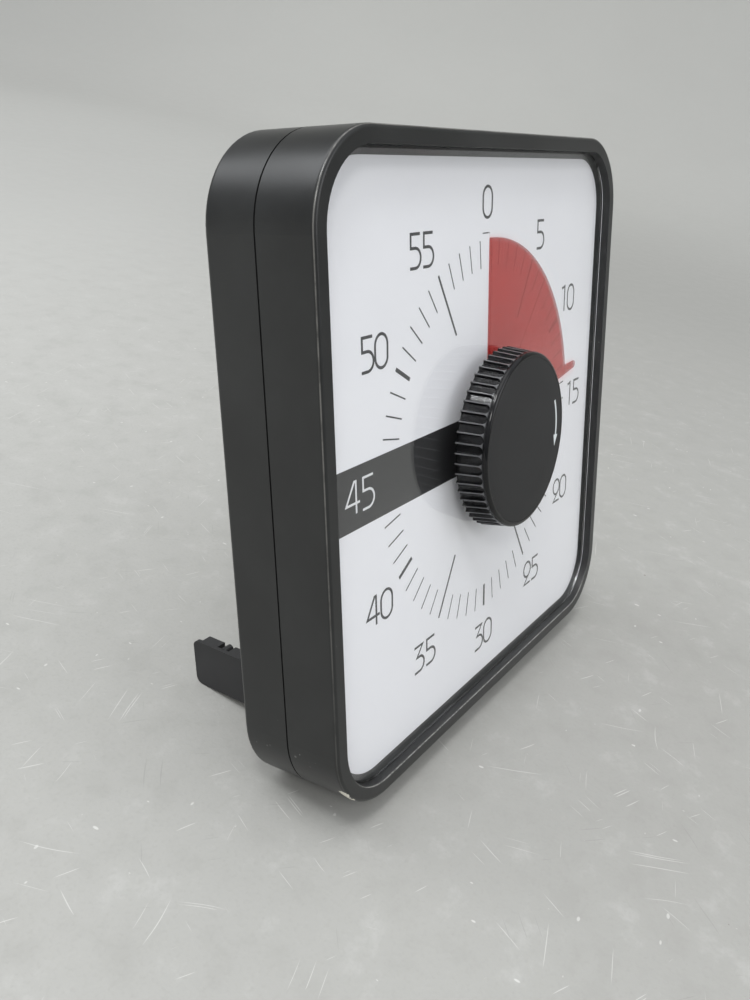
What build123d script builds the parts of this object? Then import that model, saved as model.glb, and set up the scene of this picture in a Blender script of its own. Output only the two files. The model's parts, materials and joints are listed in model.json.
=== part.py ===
from build123d import *
import math
import os

# A square 60-minute countdown timer. A big ribbed knob sets the time, a red film shows what is left
# of it, and a quartz movement turns both back to zero. Two legs fold out of the back, and the case
# leans back on them and on its rear lower edge.
#
# Sizes are millimetres. The row frame has +X to the right of the dial, +Y to the back and +Z up, with
# its origin on the surface that the timer stands on, below the middle of its outline.
# Heights and depths below are counted from the centre of the dial's face: heights run up the case,
# "out" runs out of the dial to the viewer, and depths run the other way, into the case.

os.makedirs("parts", exist_ok=True)

# ---------------------------------------------------------------- driving sizes: case
lean = 14.2                 # degrees that the case leans back
case_width = 190.0
case_height = 191.0
case_corner = 24.7
dial_rise = 0.9             # centre of the dial above the middle of the case
bezel_rise = 5.35           # bezel's face in front of the dial
seam_depth = 12.6           # where the front shell ends
seam_gap = 0.5              # dark groove between the shells
case_depth = 29.6           # rear face behind the dial
front_round = 1.2
back_round = 1.5
wall = 2.4
tongue_thickness = 1.4      # rim of the rear shell that enters the front shell
tongue_length = 3.0
tongue_root = 3.0
shell_gap = 0.15

# ---------------------------------------------------------------- driving sizes: window and dial
bezel_width = 4.7
window_corner = 20.0
lens_thickness = 1.2
lens_seat = 1.3             # height of the seat that carries the lens above the dial
lens_gap = 0.15
seat_width = 0.8
slope_run = 1.4             # sloping wall between the seat and the dial
lens_hole_radius = 4.0
card_thickness = 0.6
card_gap = 0.1
floor_thickness = 2.8       # dial floor of the front shell
film_pocket_depth = 1.2     # room for the film behind the card
film_pocket_margin = 3.0
slit_width = 0.4
slit_side_cut = 5.0

# ---------------------------------------------------------------- driving sizes: film
film_radius = 64.0
film_thickness = 0.3
film_lift = 0.45            # film in front of the card
film_drop = 0.3             # film behind the card
film_shown = 81.4           # degrees of film in front of the card: 13.6 minutes
tab_length = 9.4
tab_width = 2.8
tab_root_width = 3.6        # across the tab where it leaves the disc
tab_root = 1.0              # start of the tab inside the disc
hub_radius = 8.0
hub_front = 1.1
hub_gap = 0.5               # between the hub and the card's hole

# ---------------------------------------------------------------- driving sizes: knob and arbor
knob_base = 5.1             # out of the dial
knob_face = 15.8
knob_base_radius = 30.0
knob_top_radius = 28.8
knob_shoulder = 1.2
groove_count = 56
groove_root = 28.7
groove_slope = 0.62          # half-width of a groove for each millimetre of its depth
groove_end = 14.3
skirt_inner_radius = 27.2
knob_plate = 1.8
cap_thickness = 0.8
cap_lip = 0.35              # glossy lip left around the cap
cap_gap = 0.05
knob_tube_radius = 5.0
knob_clearance = 0.3        # knob's tube above the lens
arbor_radius = 2.5
arbor_flat = 0.5
arbor_end = 11.5
arbor_gap = 0.2             # around the arbor in the front shell's floor
fit = 0.05                  # radial clearance of every running fit
knob_screw_radius = 1.2
knob_screw_head_radius = 2.9
knob_screw_head = 1.6
knob_screw_length = 7.0

# ---------------------------------------------------------------- driving sizes: movement
movement_size = 62.0
movement_corner = 3.0
movement_wall = 1.5
movement_depth = 14.6       # box, without its cover
cover_thickness = 1.5
cover_lip = 1.2
cover_gap = 0.1
gear_module = 0.3
tooth_tip = 0.85            # height and depth of a tooth, as shares of the module
tooth_root = 1.2
tooth_half_widths = (0.27, 0.18, 0.06)  # at root, pitch circle and tip, as shares of the pitch
pinion_teeth = 10
second_pinion_teeth = 12
wheel_teeth = 60
centre_teeth = 100
wheel_thickness = 1.0
pinion_overhang = 0.4       # pinion beyond its partner's faces
first_level = 1.5           # first wheel plane behind the movement's front plate
level_step = 2.3
axle_radius = 0.8
pivot_radius = 0.5
pivot_length = 0.8
end_play = 0.2
third_angle = 150.0         # directions from one axle to the next, anticlockwise from +X
second_angle = 75.0
first_angle = 0.0
rotor_angle = -20.0
magnet_radius = 2.8
magnet_length = 3.8
magnet_front = 3.9          # behind the movement's front plate
stator_thickness = 0.8
stator_front = 5.3          # behind the movement's front plate
stator_gap = 0.4
stator_width = 3.0
coil_x = 23.5
coil_length = 16.0
coil_radius = 4.2
coil_flange_radius = 4.6
coil_flange = 1.0
coil_core_radius = 1.4
clutch_collar_radius = 4.0
washer_radius = 5.5
washer_thickness = 0.3
washer_bow = 0.5
clip_radius = 3.8
clip_thickness = 0.6
cam_radius = 5.0
cam_thickness = 1.6
cam_depth = 6.7             # behind the movement's front plate
cam_notch = 1.0
board_width = 23.0
board_height = 20.0
board_thickness = 1.0
board_depth = 9.1           # behind the movement's front plate
board_x = 17.5
board_y = -18.0
peg_radius = 1.2
chip_size = 6.0
chip_height = 1.2
crystal_radius = 1.5
crystal_length = 6.0
contact_leaf = 0.3
contact_gap = 0.45          # leaf from the cam
ear_size = 8.0
ear_thickness = 2.0
ear_spacing_x = 69.0
ear_spacing_y = 48.0
post_radius = 2.6
post_length = 6.0
movement_screw_radius = 1.1
movement_screw_length = 6.0
movement_screw_head_radius = 2.3
movement_screw_head = 1.6
wire_notch = 13.0
wire_notch_x = 21.0
terminal_length = 12.0
terminal_width = 4.0
terminal_height = 2.2
terminal_inset = 1.0         # terminal strip from the board's lower edge

# ---------------------------------------------------------------- driving sizes: battery bay
battery_radius = 7.15
battery_length = 49.5
nub_radius = 2.75
nub_length = 1.0
bay_y = -50.0
bay_length = 58.5
bay_height = 15.0
bay_wall = 1.4
bay_gap = 0.3
door_thickness = 1.8
door_width = 62.0
door_height = 20.5
door_gap = 0.2
door_seat_gap = 0.1
door_tab_width = 8.0
door_tab_length = 1.6
door_tab_thickness = 1.0
door_tab_spacing = 36.0
door_tab_skin = 0.7
door_slot_depth = 3.6
door_slot_back = 1.6
door_slot_gap = 0.3
latch_width = 10.0
latch_length = 2.2
latch_thickness = 1.2
latch_gap = 0.6
thumb_radius = 9.0
thumb_depth = 1.2
contact_thickness = 0.4
contact_size = 12.0
spring_wire = 0.45
tail_width = 4.0
tail_rise = 1.6             # contact tails beyond the bay's upper wall
tail_gap = 0.1
spring_large = 4.6
spring_small = 2.6
spring_turns = 4

# ---------------------------------------------------------------- driving sizes: switch and buzzer
switch_x = 50.0
switch_y = -50.0
switch_travel = 3.0         # each way from the middle
switch_stem_length = 5.6
switch_stem_width = 3.6
switch_gap = 0.4
switch_recess = 1.1
switch_recess_length = 18.0
switch_recess_width = 9.0
switch_head_length = 6.6
switch_head_width = 5.6
switch_body_length = 17.0
switch_body_width = 8.0
switch_body_depth = 5.0
switch_stem_depth = 2.0
buzzer_x = -50.0
buzzer_y = 44.0
buzzer_radius = 13.8
buzzer_thickness = 0.35
ceramic_radius = 9.0
ceramic_thickness = 0.25
buzzer_ring_inner = 12.4
buzzer_ring_outer = 15.4
buzzer_ring_height = 3.4
buzzer_ring_step = 0.5
sound_hole_radius = 0.9
sound_hole_circle = 4.5
sound_hole_count = 8

# ---------------------------------------------------------------- driving sizes: screws and legs
screw_side = 16.0           # screws from the sides of the case
screw_end = 16.5            # and from its ends
screw_boss_radius = 4.2
screw_radius = 1.45
screw_head_radius = 2.9
screw_head = 2.2
screw_head_gap = 0.3
screw_seat = 3.9            # screw seat behind the rear face
screw_length = 16.0
boss_meeting = 14.2         # depth at which the front and rear bosses meet
leg_side = 28.4             # leg's hinge axis from the side of the case
leg_thickness = 5.2
leg_height = 16.8
leg_reach = 76.5            # far end of the leg behind the dial
leg_rise = 3.8              # degrees that the leg's edges rise towards its far end
leg_plate = 1.6             # outer skin of the leg, which runs past the rest
leg_step = 3.0              # how far it runs past
leg_foot_round = 3.0
leg_top_round = 2.0
leg_gap = 0.3
leg_height_gap = 0.6
leg_pin_radius = 1.25
leg_inset = 0.2             # folded leg below the rear face
leg_pocket_wall = 2.2
leg_pocket_end = 1.2
catch_start = 10.1          # catch recess from the leg's far end
catch_length = 5.1
catch_width = 3.6
catch_depth = 2.6
lug_radius = 1.45
lug_rise = 0.2

# ---------------------------------------------------------------- derived sizes: stance
lean_sine = math.sin(math.radians(lean))
lean_cosine = math.cos(math.radians(lean))
case_bottom = -case_height / 2 - dial_rise


def true_height(depth, height):
    """Height above the dial's centre, along the vertical, of a point of the leaning case."""
    return height * lean_cosine - depth * lean_sine


def true_depth(depth, height):
    """Distance behind the dial's centre, along the floor, of a point of the leaning case."""
    return depth * lean_cosine + height * lean_sine


# The rear lower edge touches the floor on its rounding, and so does the foot of each leg.
dial_centre_z = back_round - true_height(case_depth - back_round, case_bottom + back_round)
foot_centre = (leg_foot_round - dial_centre_z + (leg_reach - leg_foot_round) * lean_sine) / lean_cosine
leg_slope = math.tan(math.radians(leg_rise))
leg_stretch = 1 / math.cos(math.radians(leg_rise))
leg_bottom = foot_centre - leg_foot_round * (leg_stretch - leg_slope)
leg_top = leg_bottom + leg_height
top_centre = leg_top - leg_top_round * (leg_stretch + leg_slope)
outline_front = true_depth(front_round - bezel_rise, case_bottom + front_round) - front_round
outline_back = true_depth(leg_reach - leg_top_round, top_centre) + leg_top_round
dial_centre_y = -(outline_front + outline_back) / 2

# ---------------------------------------------------------------- planes and axes of the case
outward = Vector(0, -lean_cosine, lean_sine)
inward = Vector(0, lean_cosine, -lean_sine)
upward = Vector(0, lean_sine, lean_cosine)
dial_centre = Vector(0, dial_centre_y, dial_centre_z)
dial = Plane(origin=dial_centre, x_dir=(1, 0, 0), z_dir=outward)          # x right, y up, z out
shelf = Plane(origin=dial_centre, x_dir=(1, 0, 0), z_dir=upward)          # x right, y into the case
flank = Plane(origin=dial_centre, x_dir=inward, z_dir=(1, 0, 0))          # x into the case, y up
axial = Plane(origin=dial_centre, x_dir=(1, 0, 0), z_dir=-upward)         # x right, y out of the dial
dial_axis = Axis(dial_centre, outward)
up_axis = Axis(dial_centre, upward)
case_middle = (0, -dial_rise)

# ---------------------------------------------------------------- derived sizes
window_width = case_width - 2 * bezel_width
window_height = case_height - 2 * bezel_width
seat_inner_width = window_width - 2 * seat_width
seat_inner_height = window_height - 2 * seat_width
dial_width = seat_inner_width - 2 * slope_run
dial_height = seat_inner_height - 2 * slope_run
seat_corner = window_corner - seat_width
dial_corner = seat_corner - slope_run
lens_front = lens_seat + lens_thickness
floor_back = card_thickness + floor_thickness
film_pocket_radius = film_radius + film_pocket_margin
film_pocket_bottom = card_thickness + film_pocket_depth
hub_back = film_pocket_bottom - film_drop
card_hole_radius = hub_radius + hub_gap
cavity_width = case_width - 2 * wall
cavity_height = case_height - 2 * wall
cavity_corner = case_corner - wall
rear_start = seam_depth + seam_gap
rear_floor = case_depth - wall
cap_radius = knob_top_radius - knob_shoulder - cap_lip
knob_plate_top = knob_face - cap_thickness
knob_plate_bottom = knob_plate_top - knob_plate
tube_end = lens_front + knob_clearance
screw_seat_out = knob_plate_top - knob_screw_head

movement_front = floor_back                              # depth of the movement's front face
movement_inner = movement_front + movement_wall
movement_back = movement_front + movement_depth
cover_back = movement_back + cover_thickness
pinion_radius = gear_module * pinion_teeth / 2
second_pinion_radius = gear_module * second_pinion_teeth / 2
wheel_radius = gear_module * wheel_teeth / 2
centre_radius = gear_module * centre_teeth / 2
pivot_hole = pivot_radius + fit
pivot_hole_depth = pivot_length + end_play
axle_front = movement_inner + end_play
axle_back = movement_back - end_play

bay_floor = case_depth - door_thickness - bay_gap - 2 * battery_radius - bay_gap
battery_depth = bay_floor + bay_gap + battery_radius
bay_end = bay_length / 2
battery_end = bay_end - contact_thickness - nub_length
screw_spacing_x = case_width - 2 * screw_side
screw_spacing_y = case_height - 2 * screw_end
leg_x = case_width / 2 - leg_side
leg_axis_depth = case_depth - leg_inset - leg_thickness / 2
leg_length = leg_reach - leg_axis_depth
root_bottom = leg_bottom - leg_length * leg_slope
root_top = leg_top - leg_length * leg_slope
pocket_depth = leg_axis_depth - leg_thickness / 2 - leg_gap
pocket_outer = leg_x + leg_thickness / 2 + leg_gap
pocket_inner = leg_x - leg_length - leg_pocket_end
pocket_bottom = root_bottom - leg_height_gap
pocket_top = leg_top + leg_height_gap
screw_seat_depth = case_depth - screw_seat


def level(index):
    """Depth of the front face of the movement's wheel plane number `index`."""
    return movement_inner + first_level + index * level_step


def step_from(point, angle, distance):
    """Point at a distance from another, in a direction counted anticlockwise from +X."""
    radians = math.radians(angle)
    return (point[0] + distance * math.cos(radians), point[1] + distance * math.sin(radians))


def clock_point(radius, angle):
    """Point on the dial at an angle clockwise from twelve."""
    radians = math.radians(angle)
    return (radius * math.sin(radians), radius * math.cos(radians))


# Axles of the reduction train, each at its own gear distance from the last.
centre_post = (0.0, 0.0)
third_post = step_from(centre_post, third_angle, centre_radius + pinion_radius)
second_post = step_from(third_post, second_angle, wheel_radius + second_pinion_radius)
first_post = step_from(second_post, first_angle, wheel_radius + pinion_radius)
rotor_post = step_from(first_post, rotor_angle, wheel_radius + pinion_radius)
train_posts = [third_post, second_post, first_post, rotor_post]


def gear_points(centre, teeth, first_tooth):
    """Outline of a fine clock gear with its first tooth at an angle anticlockwise from +X."""
    pitch_radius = gear_module * teeth / 2
    tip_radius = pitch_radius + tooth_tip * gear_module
    root_radius = pitch_radius - tooth_root * gear_module
    flank_points = list(zip(tooth_half_widths, (root_radius, pitch_radius, tip_radius)))
    pitch = 360 / teeth
    points = []
    for tooth in range(teeth):
        middle = first_tooth + tooth * pitch
        for half_width, radius in flank_points:
            points.append(step_from(centre, middle - half_width * pitch, radius))
        for half_width, radius in reversed(flank_points):
            points.append(step_from(centre, middle + half_width * pitch, radius))
    return points


def gear_face(centre, teeth, first_tooth):
    """Face of a gear, to be added to a sketch."""
    with BuildSketch() as outline:
        with BuildLine():
            Polyline(*gear_points(centre, teeth, first_tooth), close=True)
        make_face()
    return outline.sketch_local


def sector_face(inner, outer, start, stop):
    """Face of a ring sector between two clock angles, to be added to a sketch."""
    middle = (start + stop) / 2
    with BuildSketch() as outline:
        with BuildLine():
            Line(clock_point(inner, start), clock_point(outer, start))
            ThreePointArc(clock_point(outer, start), clock_point(outer, middle), clock_point(outer, stop))
            Line(clock_point(outer, stop), clock_point(inner, stop))
            ThreePointArc(clock_point(inner, stop), clock_point(inner, middle), clock_point(inner, start))
        make_face()
    return outline.sketch_local


def finish(builder, label):
    """Label a finished piece and write it."""
    builder.part.label = label
    export_step(builder.part, "parts/" + label + ".step")


# ---------------------------------------------------------------- front housing
with BuildPart() as front_housing:
    with BuildSketch(dial.offset(-seam_depth)):
        with Locations(case_middle):
            RectangleRounded(case_width, case_height, case_corner)
    extrude(amount=seam_depth + bezel_rise)
    fillet(front_housing.faces().sort_by(dial_axis)[-1].edges(), front_round)
    with BuildSketch(dial.offset(lens_seat)):
        with Locations(case_middle):
            RectangleRounded(window_width, window_height, window_corner)
    extrude(amount=bezel_rise - lens_seat, mode=Mode.SUBTRACT)
    with BuildSketch(dial.offset(lens_seat)):
        with Locations(case_middle):
            RectangleRounded(seat_inner_width, seat_inner_height, seat_corner)
    with BuildSketch(dial):
        with Locations(case_middle):
            RectangleRounded(dial_width, dial_height, dial_corner)
    loft(mode=Mode.SUBTRACT)
    with BuildSketch(dial):
        with Locations(case_middle):
            RectangleRounded(dial_width, dial_height, dial_corner)
    extrude(amount=-card_thickness, mode=Mode.SUBTRACT)
    with BuildSketch(dial.offset(-card_thickness)):
        Circle(film_pocket_radius)
    extrude(amount=-film_pocket_depth, mode=Mode.SUBTRACT)
    with BuildSketch(dial.offset(-seam_depth)):
        with Locations(case_middle):
            RectangleRounded(cavity_width, cavity_height, cavity_corner)
    extrude(amount=seam_depth - floor_back, mode=Mode.SUBTRACT)
    # bosses for the case screws and posts for the movement
    with BuildSketch(dial.offset(-floor_back)):
        with Locations(case_middle):
            with GridLocations(screw_spacing_x, screw_spacing_y, 2, 2):
                Circle(screw_boss_radius)
    extrude(amount=floor_back - boss_meeting)
    with BuildSketch(dial.offset(-floor_back)):
        with GridLocations(ear_spacing_x, ear_spacing_y, 2, 2):
            Circle(post_radius)
    extrude(amount=-post_length)
    with BuildSketch(dial.offset(-boss_meeting)):
        with Locations(case_middle):
            with GridLocations(screw_spacing_x, screw_spacing_y, 2, 2):
                Circle(screw_radius)
    extrude(amount=boss_meeting - (screw_seat_depth - screw_length), mode=Mode.SUBTRACT)
    with BuildSketch(dial.offset(-floor_back - post_length)):
        with GridLocations(ear_spacing_x, ear_spacing_y, 2, 2):
            Circle(movement_screw_radius)
    extrude(amount=movement_screw_length - ear_thickness, mode=Mode.SUBTRACT)
    with BuildSketch(dial):
        Circle(arbor_radius + arbor_gap)
    extrude(amount=-floor_back, mode=Mode.SUBTRACT)
finish(front_housing, "front_housing")

# ---------------------------------------------------------------- lens and dial card
with BuildPart() as lens:
    with BuildSketch(dial.offset(lens_seat)):
        with Locations(case_middle):
            RectangleRounded(
                window_width - 2 * lens_gap, window_height - 2 * lens_gap, window_corner - lens_gap
            )
        Circle(lens_hole_radius, mode=Mode.SUBTRACT)
    extrude(amount=lens_thickness)
finish(lens, "lens")

with BuildPart() as dial_card:
    with BuildSketch(dial):
        with Locations(case_middle):
            RectangleRounded(
                dial_width - 2 * card_gap, dial_height - 2 * card_gap, dial_corner - card_gap
            )
        Circle(card_hole_radius, mode=Mode.SUBTRACT)
        # radial slit for the film, with a short side cut that lets the card's lip lift
        slit_end = film_radius + film_pocket_margin / 2
        with Locations((-slit_width / 2, slit_end / 2)):
            Rectangle(slit_width, slit_end, mode=Mode.SUBTRACT)
        with Locations((-slit_side_cut / 2, slit_end)):
            Rectangle(slit_side_cut, slit_width, mode=Mode.SUBTRACT)
    extrude(amount=-card_thickness)
finish(dial_card, "dial_card")

# ---------------------------------------------------------------- red film
# One flexible disc on the real timer. It is cut here into the part behind the card and two leaves
# in front of it, so that the shown part can follow the knob at half and at full travel.
leaf_span = film_shown / 2

with BuildPart() as film_leaf_1:
    with BuildSketch(dial.offset(film_lift)):
        add(sector_face(hub_radius + fit, film_radius, 0, leaf_span))
    extrude(amount=film_thickness)
finish(film_leaf_1, "film_leaf_1")

with BuildPart() as film_leaf_2:
    with BuildSketch(dial.offset(film_lift)):
        add(sector_face(hub_radius + fit, film_radius, leaf_span, film_shown))
        # tab along the film's end edge, with a round tip
        tip_start = tab_length - tab_width / 2
        with Locations(Location(clock_point(film_radius, film_shown), 90 - film_shown)):
            Polygon(
                (-tab_root, 0), (tip_start, 0), (tip_start, tab_width), (0, tab_root_width),
                (-tab_root, tab_root_width),
                align=None,
            )
            with Locations((tip_start, tab_width / 2)):
                Circle(tab_width / 2)
    extrude(amount=film_thickness)
finish(film_leaf_2, "film_leaf_2")

with BuildPart() as film_rear:
    with BuildSketch(dial.offset(-card_thickness - film_drop)):
        add(sector_face(hub_radius, film_radius, film_shown, 360))
    extrude(amount=-film_thickness)
finish(film_rear, "film_rear")

with BuildPart() as film_hub:
    with BuildSketch(dial.offset(-hub_back)):
        Circle(hub_radius)
        Circle(arbor_radius, mode=Mode.SUBTRACT)
    extrude(amount=hub_back + hub_front)
finish(film_hub, "film_hub")

# ---------------------------------------------------------------- knob
groove_reach = 2 * (knob_base_radius - groove_root)

with BuildPart() as knob:
    with BuildSketch(axial):
        Polygon(
            (0, knob_base), (knob_base_radius, knob_base), (knob_top_radius, knob_face), (0, knob_face),
            align=None,
        )
    revolve(axis=dial_axis)
    fillet(knob.edges().filter_by(GeomType.CIRCLE).sort_by(dial_axis)[-1], knob_shoulder)
    with BuildSketch(dial.offset(knob_base)):
        Circle(skirt_inner_radius)
        Circle(knob_tube_radius, mode=Mode.SUBTRACT)
    extrude(amount=knob_plate_bottom - knob_base, mode=Mode.SUBTRACT)
    with BuildSketch(dial.offset(tube_end)):
        Circle(knob_tube_radius)
    extrude(amount=knob_base - tube_end)
    with BuildSketch(dial.offset(knob_plate_top)):
        Circle(cap_radius + cap_gap)
    extrude(amount=cap_thickness, mode=Mode.SUBTRACT)
    with BuildSketch(dial.offset(tube_end)):
        Circle(arbor_radius)
        with Locations((0, arbor_radius)):
            Rectangle(2 * arbor_radius, 2 * arbor_flat, mode=Mode.SUBTRACT)
    extrude(amount=arbor_end - tube_end, mode=Mode.SUBTRACT)
    with BuildSketch(dial.offset(arbor_end)):
        Circle(knob_screw_radius)
    extrude(amount=knob_face - arbor_end, mode=Mode.SUBTRACT)
    with BuildSketch(dial.offset(screw_seat_out)):
        Circle(knob_screw_head_radius)
    extrude(amount=knob_screw_head, mode=Mode.SUBTRACT)
    with BuildSketch(dial.offset(knob_base)):
        with PolarLocations(groove_root, groove_count):
            Polygon(
                (0, 0), (groove_reach, -groove_slope * groove_reach),
                (groove_reach, groove_slope * groove_reach),
                align=None,
            )
    extrude(amount=groove_end - knob_base, mode=Mode.SUBTRACT)
finish(knob, "knob")

with BuildPart() as knob_cap:
    with BuildSketch(dial.offset(knob_plate_top)):
        Circle(cap_radius)
    extrude(amount=cap_thickness)
finish(knob_cap, "knob_cap")

with BuildPart() as knob_screw:
    with BuildSketch(dial.offset(knob_plate_top)):
        Circle(knob_screw_head_radius)
    extrude(amount=-knob_screw_head)
    with BuildSketch(dial.offset(screw_seat_out)):
        Circle(knob_screw_radius)
    extrude(amount=-knob_screw_length)
finish(knob_screw, "knob_screw")

# ---------------------------------------------------------------- arbor, clutch and cam
collar_front = movement_inner + end_play
wheel_front = level(0)
wheel_back = wheel_front + wheel_thickness
washer_front = wheel_back + fit
clip_front = washer_front + washer_thickness + washer_bow + fit
cam_front = movement_inner + cam_depth

with BuildPart() as arbor:
    with BuildSketch(dial.offset(-(cover_back - end_play))):
        Circle(arbor_radius)
    extrude(amount=cover_back - end_play + tube_end)
    with BuildSketch(dial.offset(tube_end)):
        Circle(arbor_radius)
        with Locations((0, arbor_radius)):
            Rectangle(2 * arbor_radius, 2 * arbor_flat, mode=Mode.SUBTRACT)
    extrude(amount=arbor_end - tube_end)
    with BuildSketch(dial.offset(-collar_front)):
        Circle(clutch_collar_radius)
    extrude(amount=-(wheel_front - fit - collar_front))
    with BuildSketch(dial.offset(arbor_end)):
        Circle(knob_screw_radius)
    extrude(amount=-(knob_screw_length - (screw_seat_out - arbor_end)), mode=Mode.SUBTRACT)
finish(arbor, "arbor")

with BuildPart() as clutch_washer:
    with BuildSketch(axial):
        Polygon(
            (arbor_radius + fit, -washer_front - washer_bow),
            (washer_radius, -washer_front),
            (washer_radius, -washer_front - washer_thickness),
            (arbor_radius + fit, -washer_front - washer_bow - washer_thickness),
            align=None,
        )
    revolve(axis=dial_axis)
finish(clutch_washer, "clutch_washer")

with BuildPart() as arbor_clip:
    with BuildSketch(dial.offset(-clip_front)):
        Circle(clip_radius)
        Circle(arbor_radius, mode=Mode.SUBTRACT)
        with Locations((0, -clip_radius)):
            Rectangle(arbor_radius, clip_radius, mode=Mode.SUBTRACT)
    extrude(amount=-clip_thickness)
finish(arbor_clip, "arbor_clip")

with BuildPart() as alarm_cam:
    with BuildSketch(dial.offset(-cam_front)):
        Circle(cam_radius)
        Circle(arbor_radius, mode=Mode.SUBTRACT)
        with Locations(clock_point(cam_radius, 180 + film_shown)):
            Circle(cam_notch, mode=Mode.SUBTRACT)
    extrude(amount=-cam_thickness)
finish(alarm_cam, "alarm_cam")

# ---------------------------------------------------------------- movement box
with BuildPart() as movement_case:
    with BuildSketch(dial.offset(-movement_front)):
        RectangleRounded(movement_size, movement_size, movement_corner)
    extrude(amount=-movement_depth)
    with BuildSketch(dial.offset(-movement_inner)):
        RectangleRounded(
            movement_size - 2 * movement_wall, movement_size - 2 * movement_wall,
            movement_corner - movement_wall,
        )
    extrude(amount=-(movement_depth - movement_wall), mode=Mode.SUBTRACT)
    # ears on the posts of the front shell
    with BuildSketch(dial.offset(-floor_back - post_length)):
        with GridLocations(ear_spacing_x, ear_spacing_y, 2, 2):
            Rectangle(ear_size, ear_size)
        Rectangle(movement_size - movement_wall, movement_size - movement_wall, mode=Mode.SUBTRACT)
        with GridLocations(ear_spacing_x, ear_spacing_y, 2, 2):
            Circle(movement_screw_radius, mode=Mode.SUBTRACT)
    extrude(amount=-ear_thickness)
    with BuildSketch(dial.offset(-movement_front)):
        Circle(arbor_radius + fit)
    extrude(amount=-movement_wall, mode=Mode.SUBTRACT)
    with BuildSketch(dial.offset(-movement_inner)):
        with Locations(*train_posts):
            Circle(pivot_hole)
    extrude(amount=pivot_hole_depth, mode=Mode.SUBTRACT)
    # pegs for the circuit board, stator and coil
    with BuildSketch(dial.offset(-movement_inner)):
        with Locations((board_x, board_y)):
            with GridLocations(board_width - 4 * peg_radius, 0, 2, 1):
                Circle(peg_radius)
    extrude(amount=-board_depth)
    # notch for the lead wires in the lower wall
    with BuildSketch(dial.offset(-movement_back)):
        with Locations((wire_notch_x, -movement_size / 2)):
            Rectangle(wire_notch, 3 * movement_wall)
    extrude(amount=movement_back - movement_inner - board_depth, mode=Mode.SUBTRACT)
finish(movement_case, "movement_case")

with BuildPart() as movement_cover:
    with BuildSketch(dial.offset(-movement_back)):
        RectangleRounded(movement_size, movement_size, movement_corner)
    extrude(amount=-cover_thickness)
    inner_size = movement_size - 2 * movement_wall - 2 * cover_gap
    with BuildSketch(dial.offset(-movement_back)):
        RectangleRounded(inner_size, inner_size, movement_corner - movement_wall)
        Rectangle(inner_size - 2 * movement_wall, inner_size - 2 * movement_wall, mode=Mode.SUBTRACT)
        with Locations((wire_notch_x, -movement_size / 2)):
            Rectangle(wire_notch, 6 * movement_wall, mode=Mode.SUBTRACT)
    extrude(amount=cover_lip)
    with BuildSketch(dial.offset(-movement_back)):
        Circle(arbor_radius + fit)
    extrude(amount=-cover_thickness, mode=Mode.SUBTRACT)
    with BuildSketch(dial.offset(-movement_back)):
        with Locations(*train_posts):
            Circle(pivot_hole)
    extrude(amount=-pivot_hole_depth, mode=Mode.SUBTRACT)
finish(movement_cover, "movement_cover")

with BuildPart() as movement_screws:
    with BuildSketch(dial.offset(-floor_back - post_length - ear_thickness)):
        with GridLocations(ear_spacing_x, ear_spacing_y, 2, 2):
            Circle(movement_screw_head_radius)
    extrude(amount=-movement_screw_head)
    with BuildSketch(dial.offset(-floor_back - post_length - ear_thickness)):
        with GridLocations(ear_spacing_x, ear_spacing_y, 2, 2):
            Circle(movement_screw_radius)
    extrude(amount=movement_screw_length)
finish(movement_screws, "movement_screws")

# ---------------------------------------------------------------- reduction train
# Each wheel meshes with the pinion of the one before it: a pinion's tooth points along the line of
# centres and the wheel has a gap there.
with BuildPart() as centre_wheel:
    with BuildSketch(dial.offset(-level(0))):
        add(gear_face(centre_post, centre_teeth, third_angle + 180 / centre_teeth))
        Circle(arbor_radius + fit, mode=Mode.SUBTRACT)
    extrude(amount=-wheel_thickness)
finish(centre_wheel, "centre_wheel")

train = [
    ("third_wheel", third_post, 1, second_angle, pinion_teeth, third_angle + 180),
    ("second_wheel", second_post, 2, first_angle, second_pinion_teeth, second_angle + 180),
    ("first_wheel", first_post, 3, rotor_angle, pinion_teeth, first_angle + 180),
]
for name, post, plane, wheel_mesh_angle, small_teeth, pinion_mesh_angle in train:
    with BuildPart() as train_wheel:
        with BuildSketch(dial.offset(-level(plane))):
            add(gear_face(post, wheel_teeth, wheel_mesh_angle + 180 / wheel_teeth))
        extrude(amount=-wheel_thickness)
        with BuildSketch(dial.offset(-level(plane - 1) + pinion_overhang)):
            add(gear_face(post, small_teeth, pinion_mesh_angle))
        extrude(amount=-(wheel_thickness + 2 * pinion_overhang))
        with BuildSketch(dial.offset(-axle_front)):
            with Locations(post):
                Circle(axle_radius)
        extrude(amount=-(axle_back - axle_front))
        with BuildSketch(dial.offset(-axle_front + pivot_length)):
            with Locations(post):
                Circle(pivot_radius)
        extrude(amount=-(axle_back - axle_front + 2 * pivot_length))
    finish(train_wheel, name)

with BuildPart() as rotor:
    with BuildSketch(dial.offset(-level(len(train)) + pinion_overhang)):
        add(gear_face(rotor_post, pinion_teeth, rotor_angle + 180))
    extrude(amount=-(wheel_thickness + 2 * pinion_overhang))
    with BuildSketch(dial.offset(-movement_inner - magnet_front)):
        with Locations(rotor_post):
            Circle(magnet_radius)
    extrude(amount=-magnet_length)
    with BuildSketch(dial.offset(-axle_front)):
        with Locations(rotor_post):
            Circle(axle_radius)
    extrude(amount=-(axle_back - axle_front))
    with BuildSketch(dial.offset(-axle_front + pivot_length)):
        with Locations(rotor_post):
            Circle(pivot_radius)
    extrude(amount=-(axle_back - axle_front + 2 * pivot_length))
finish(rotor, "rotor")

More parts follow.
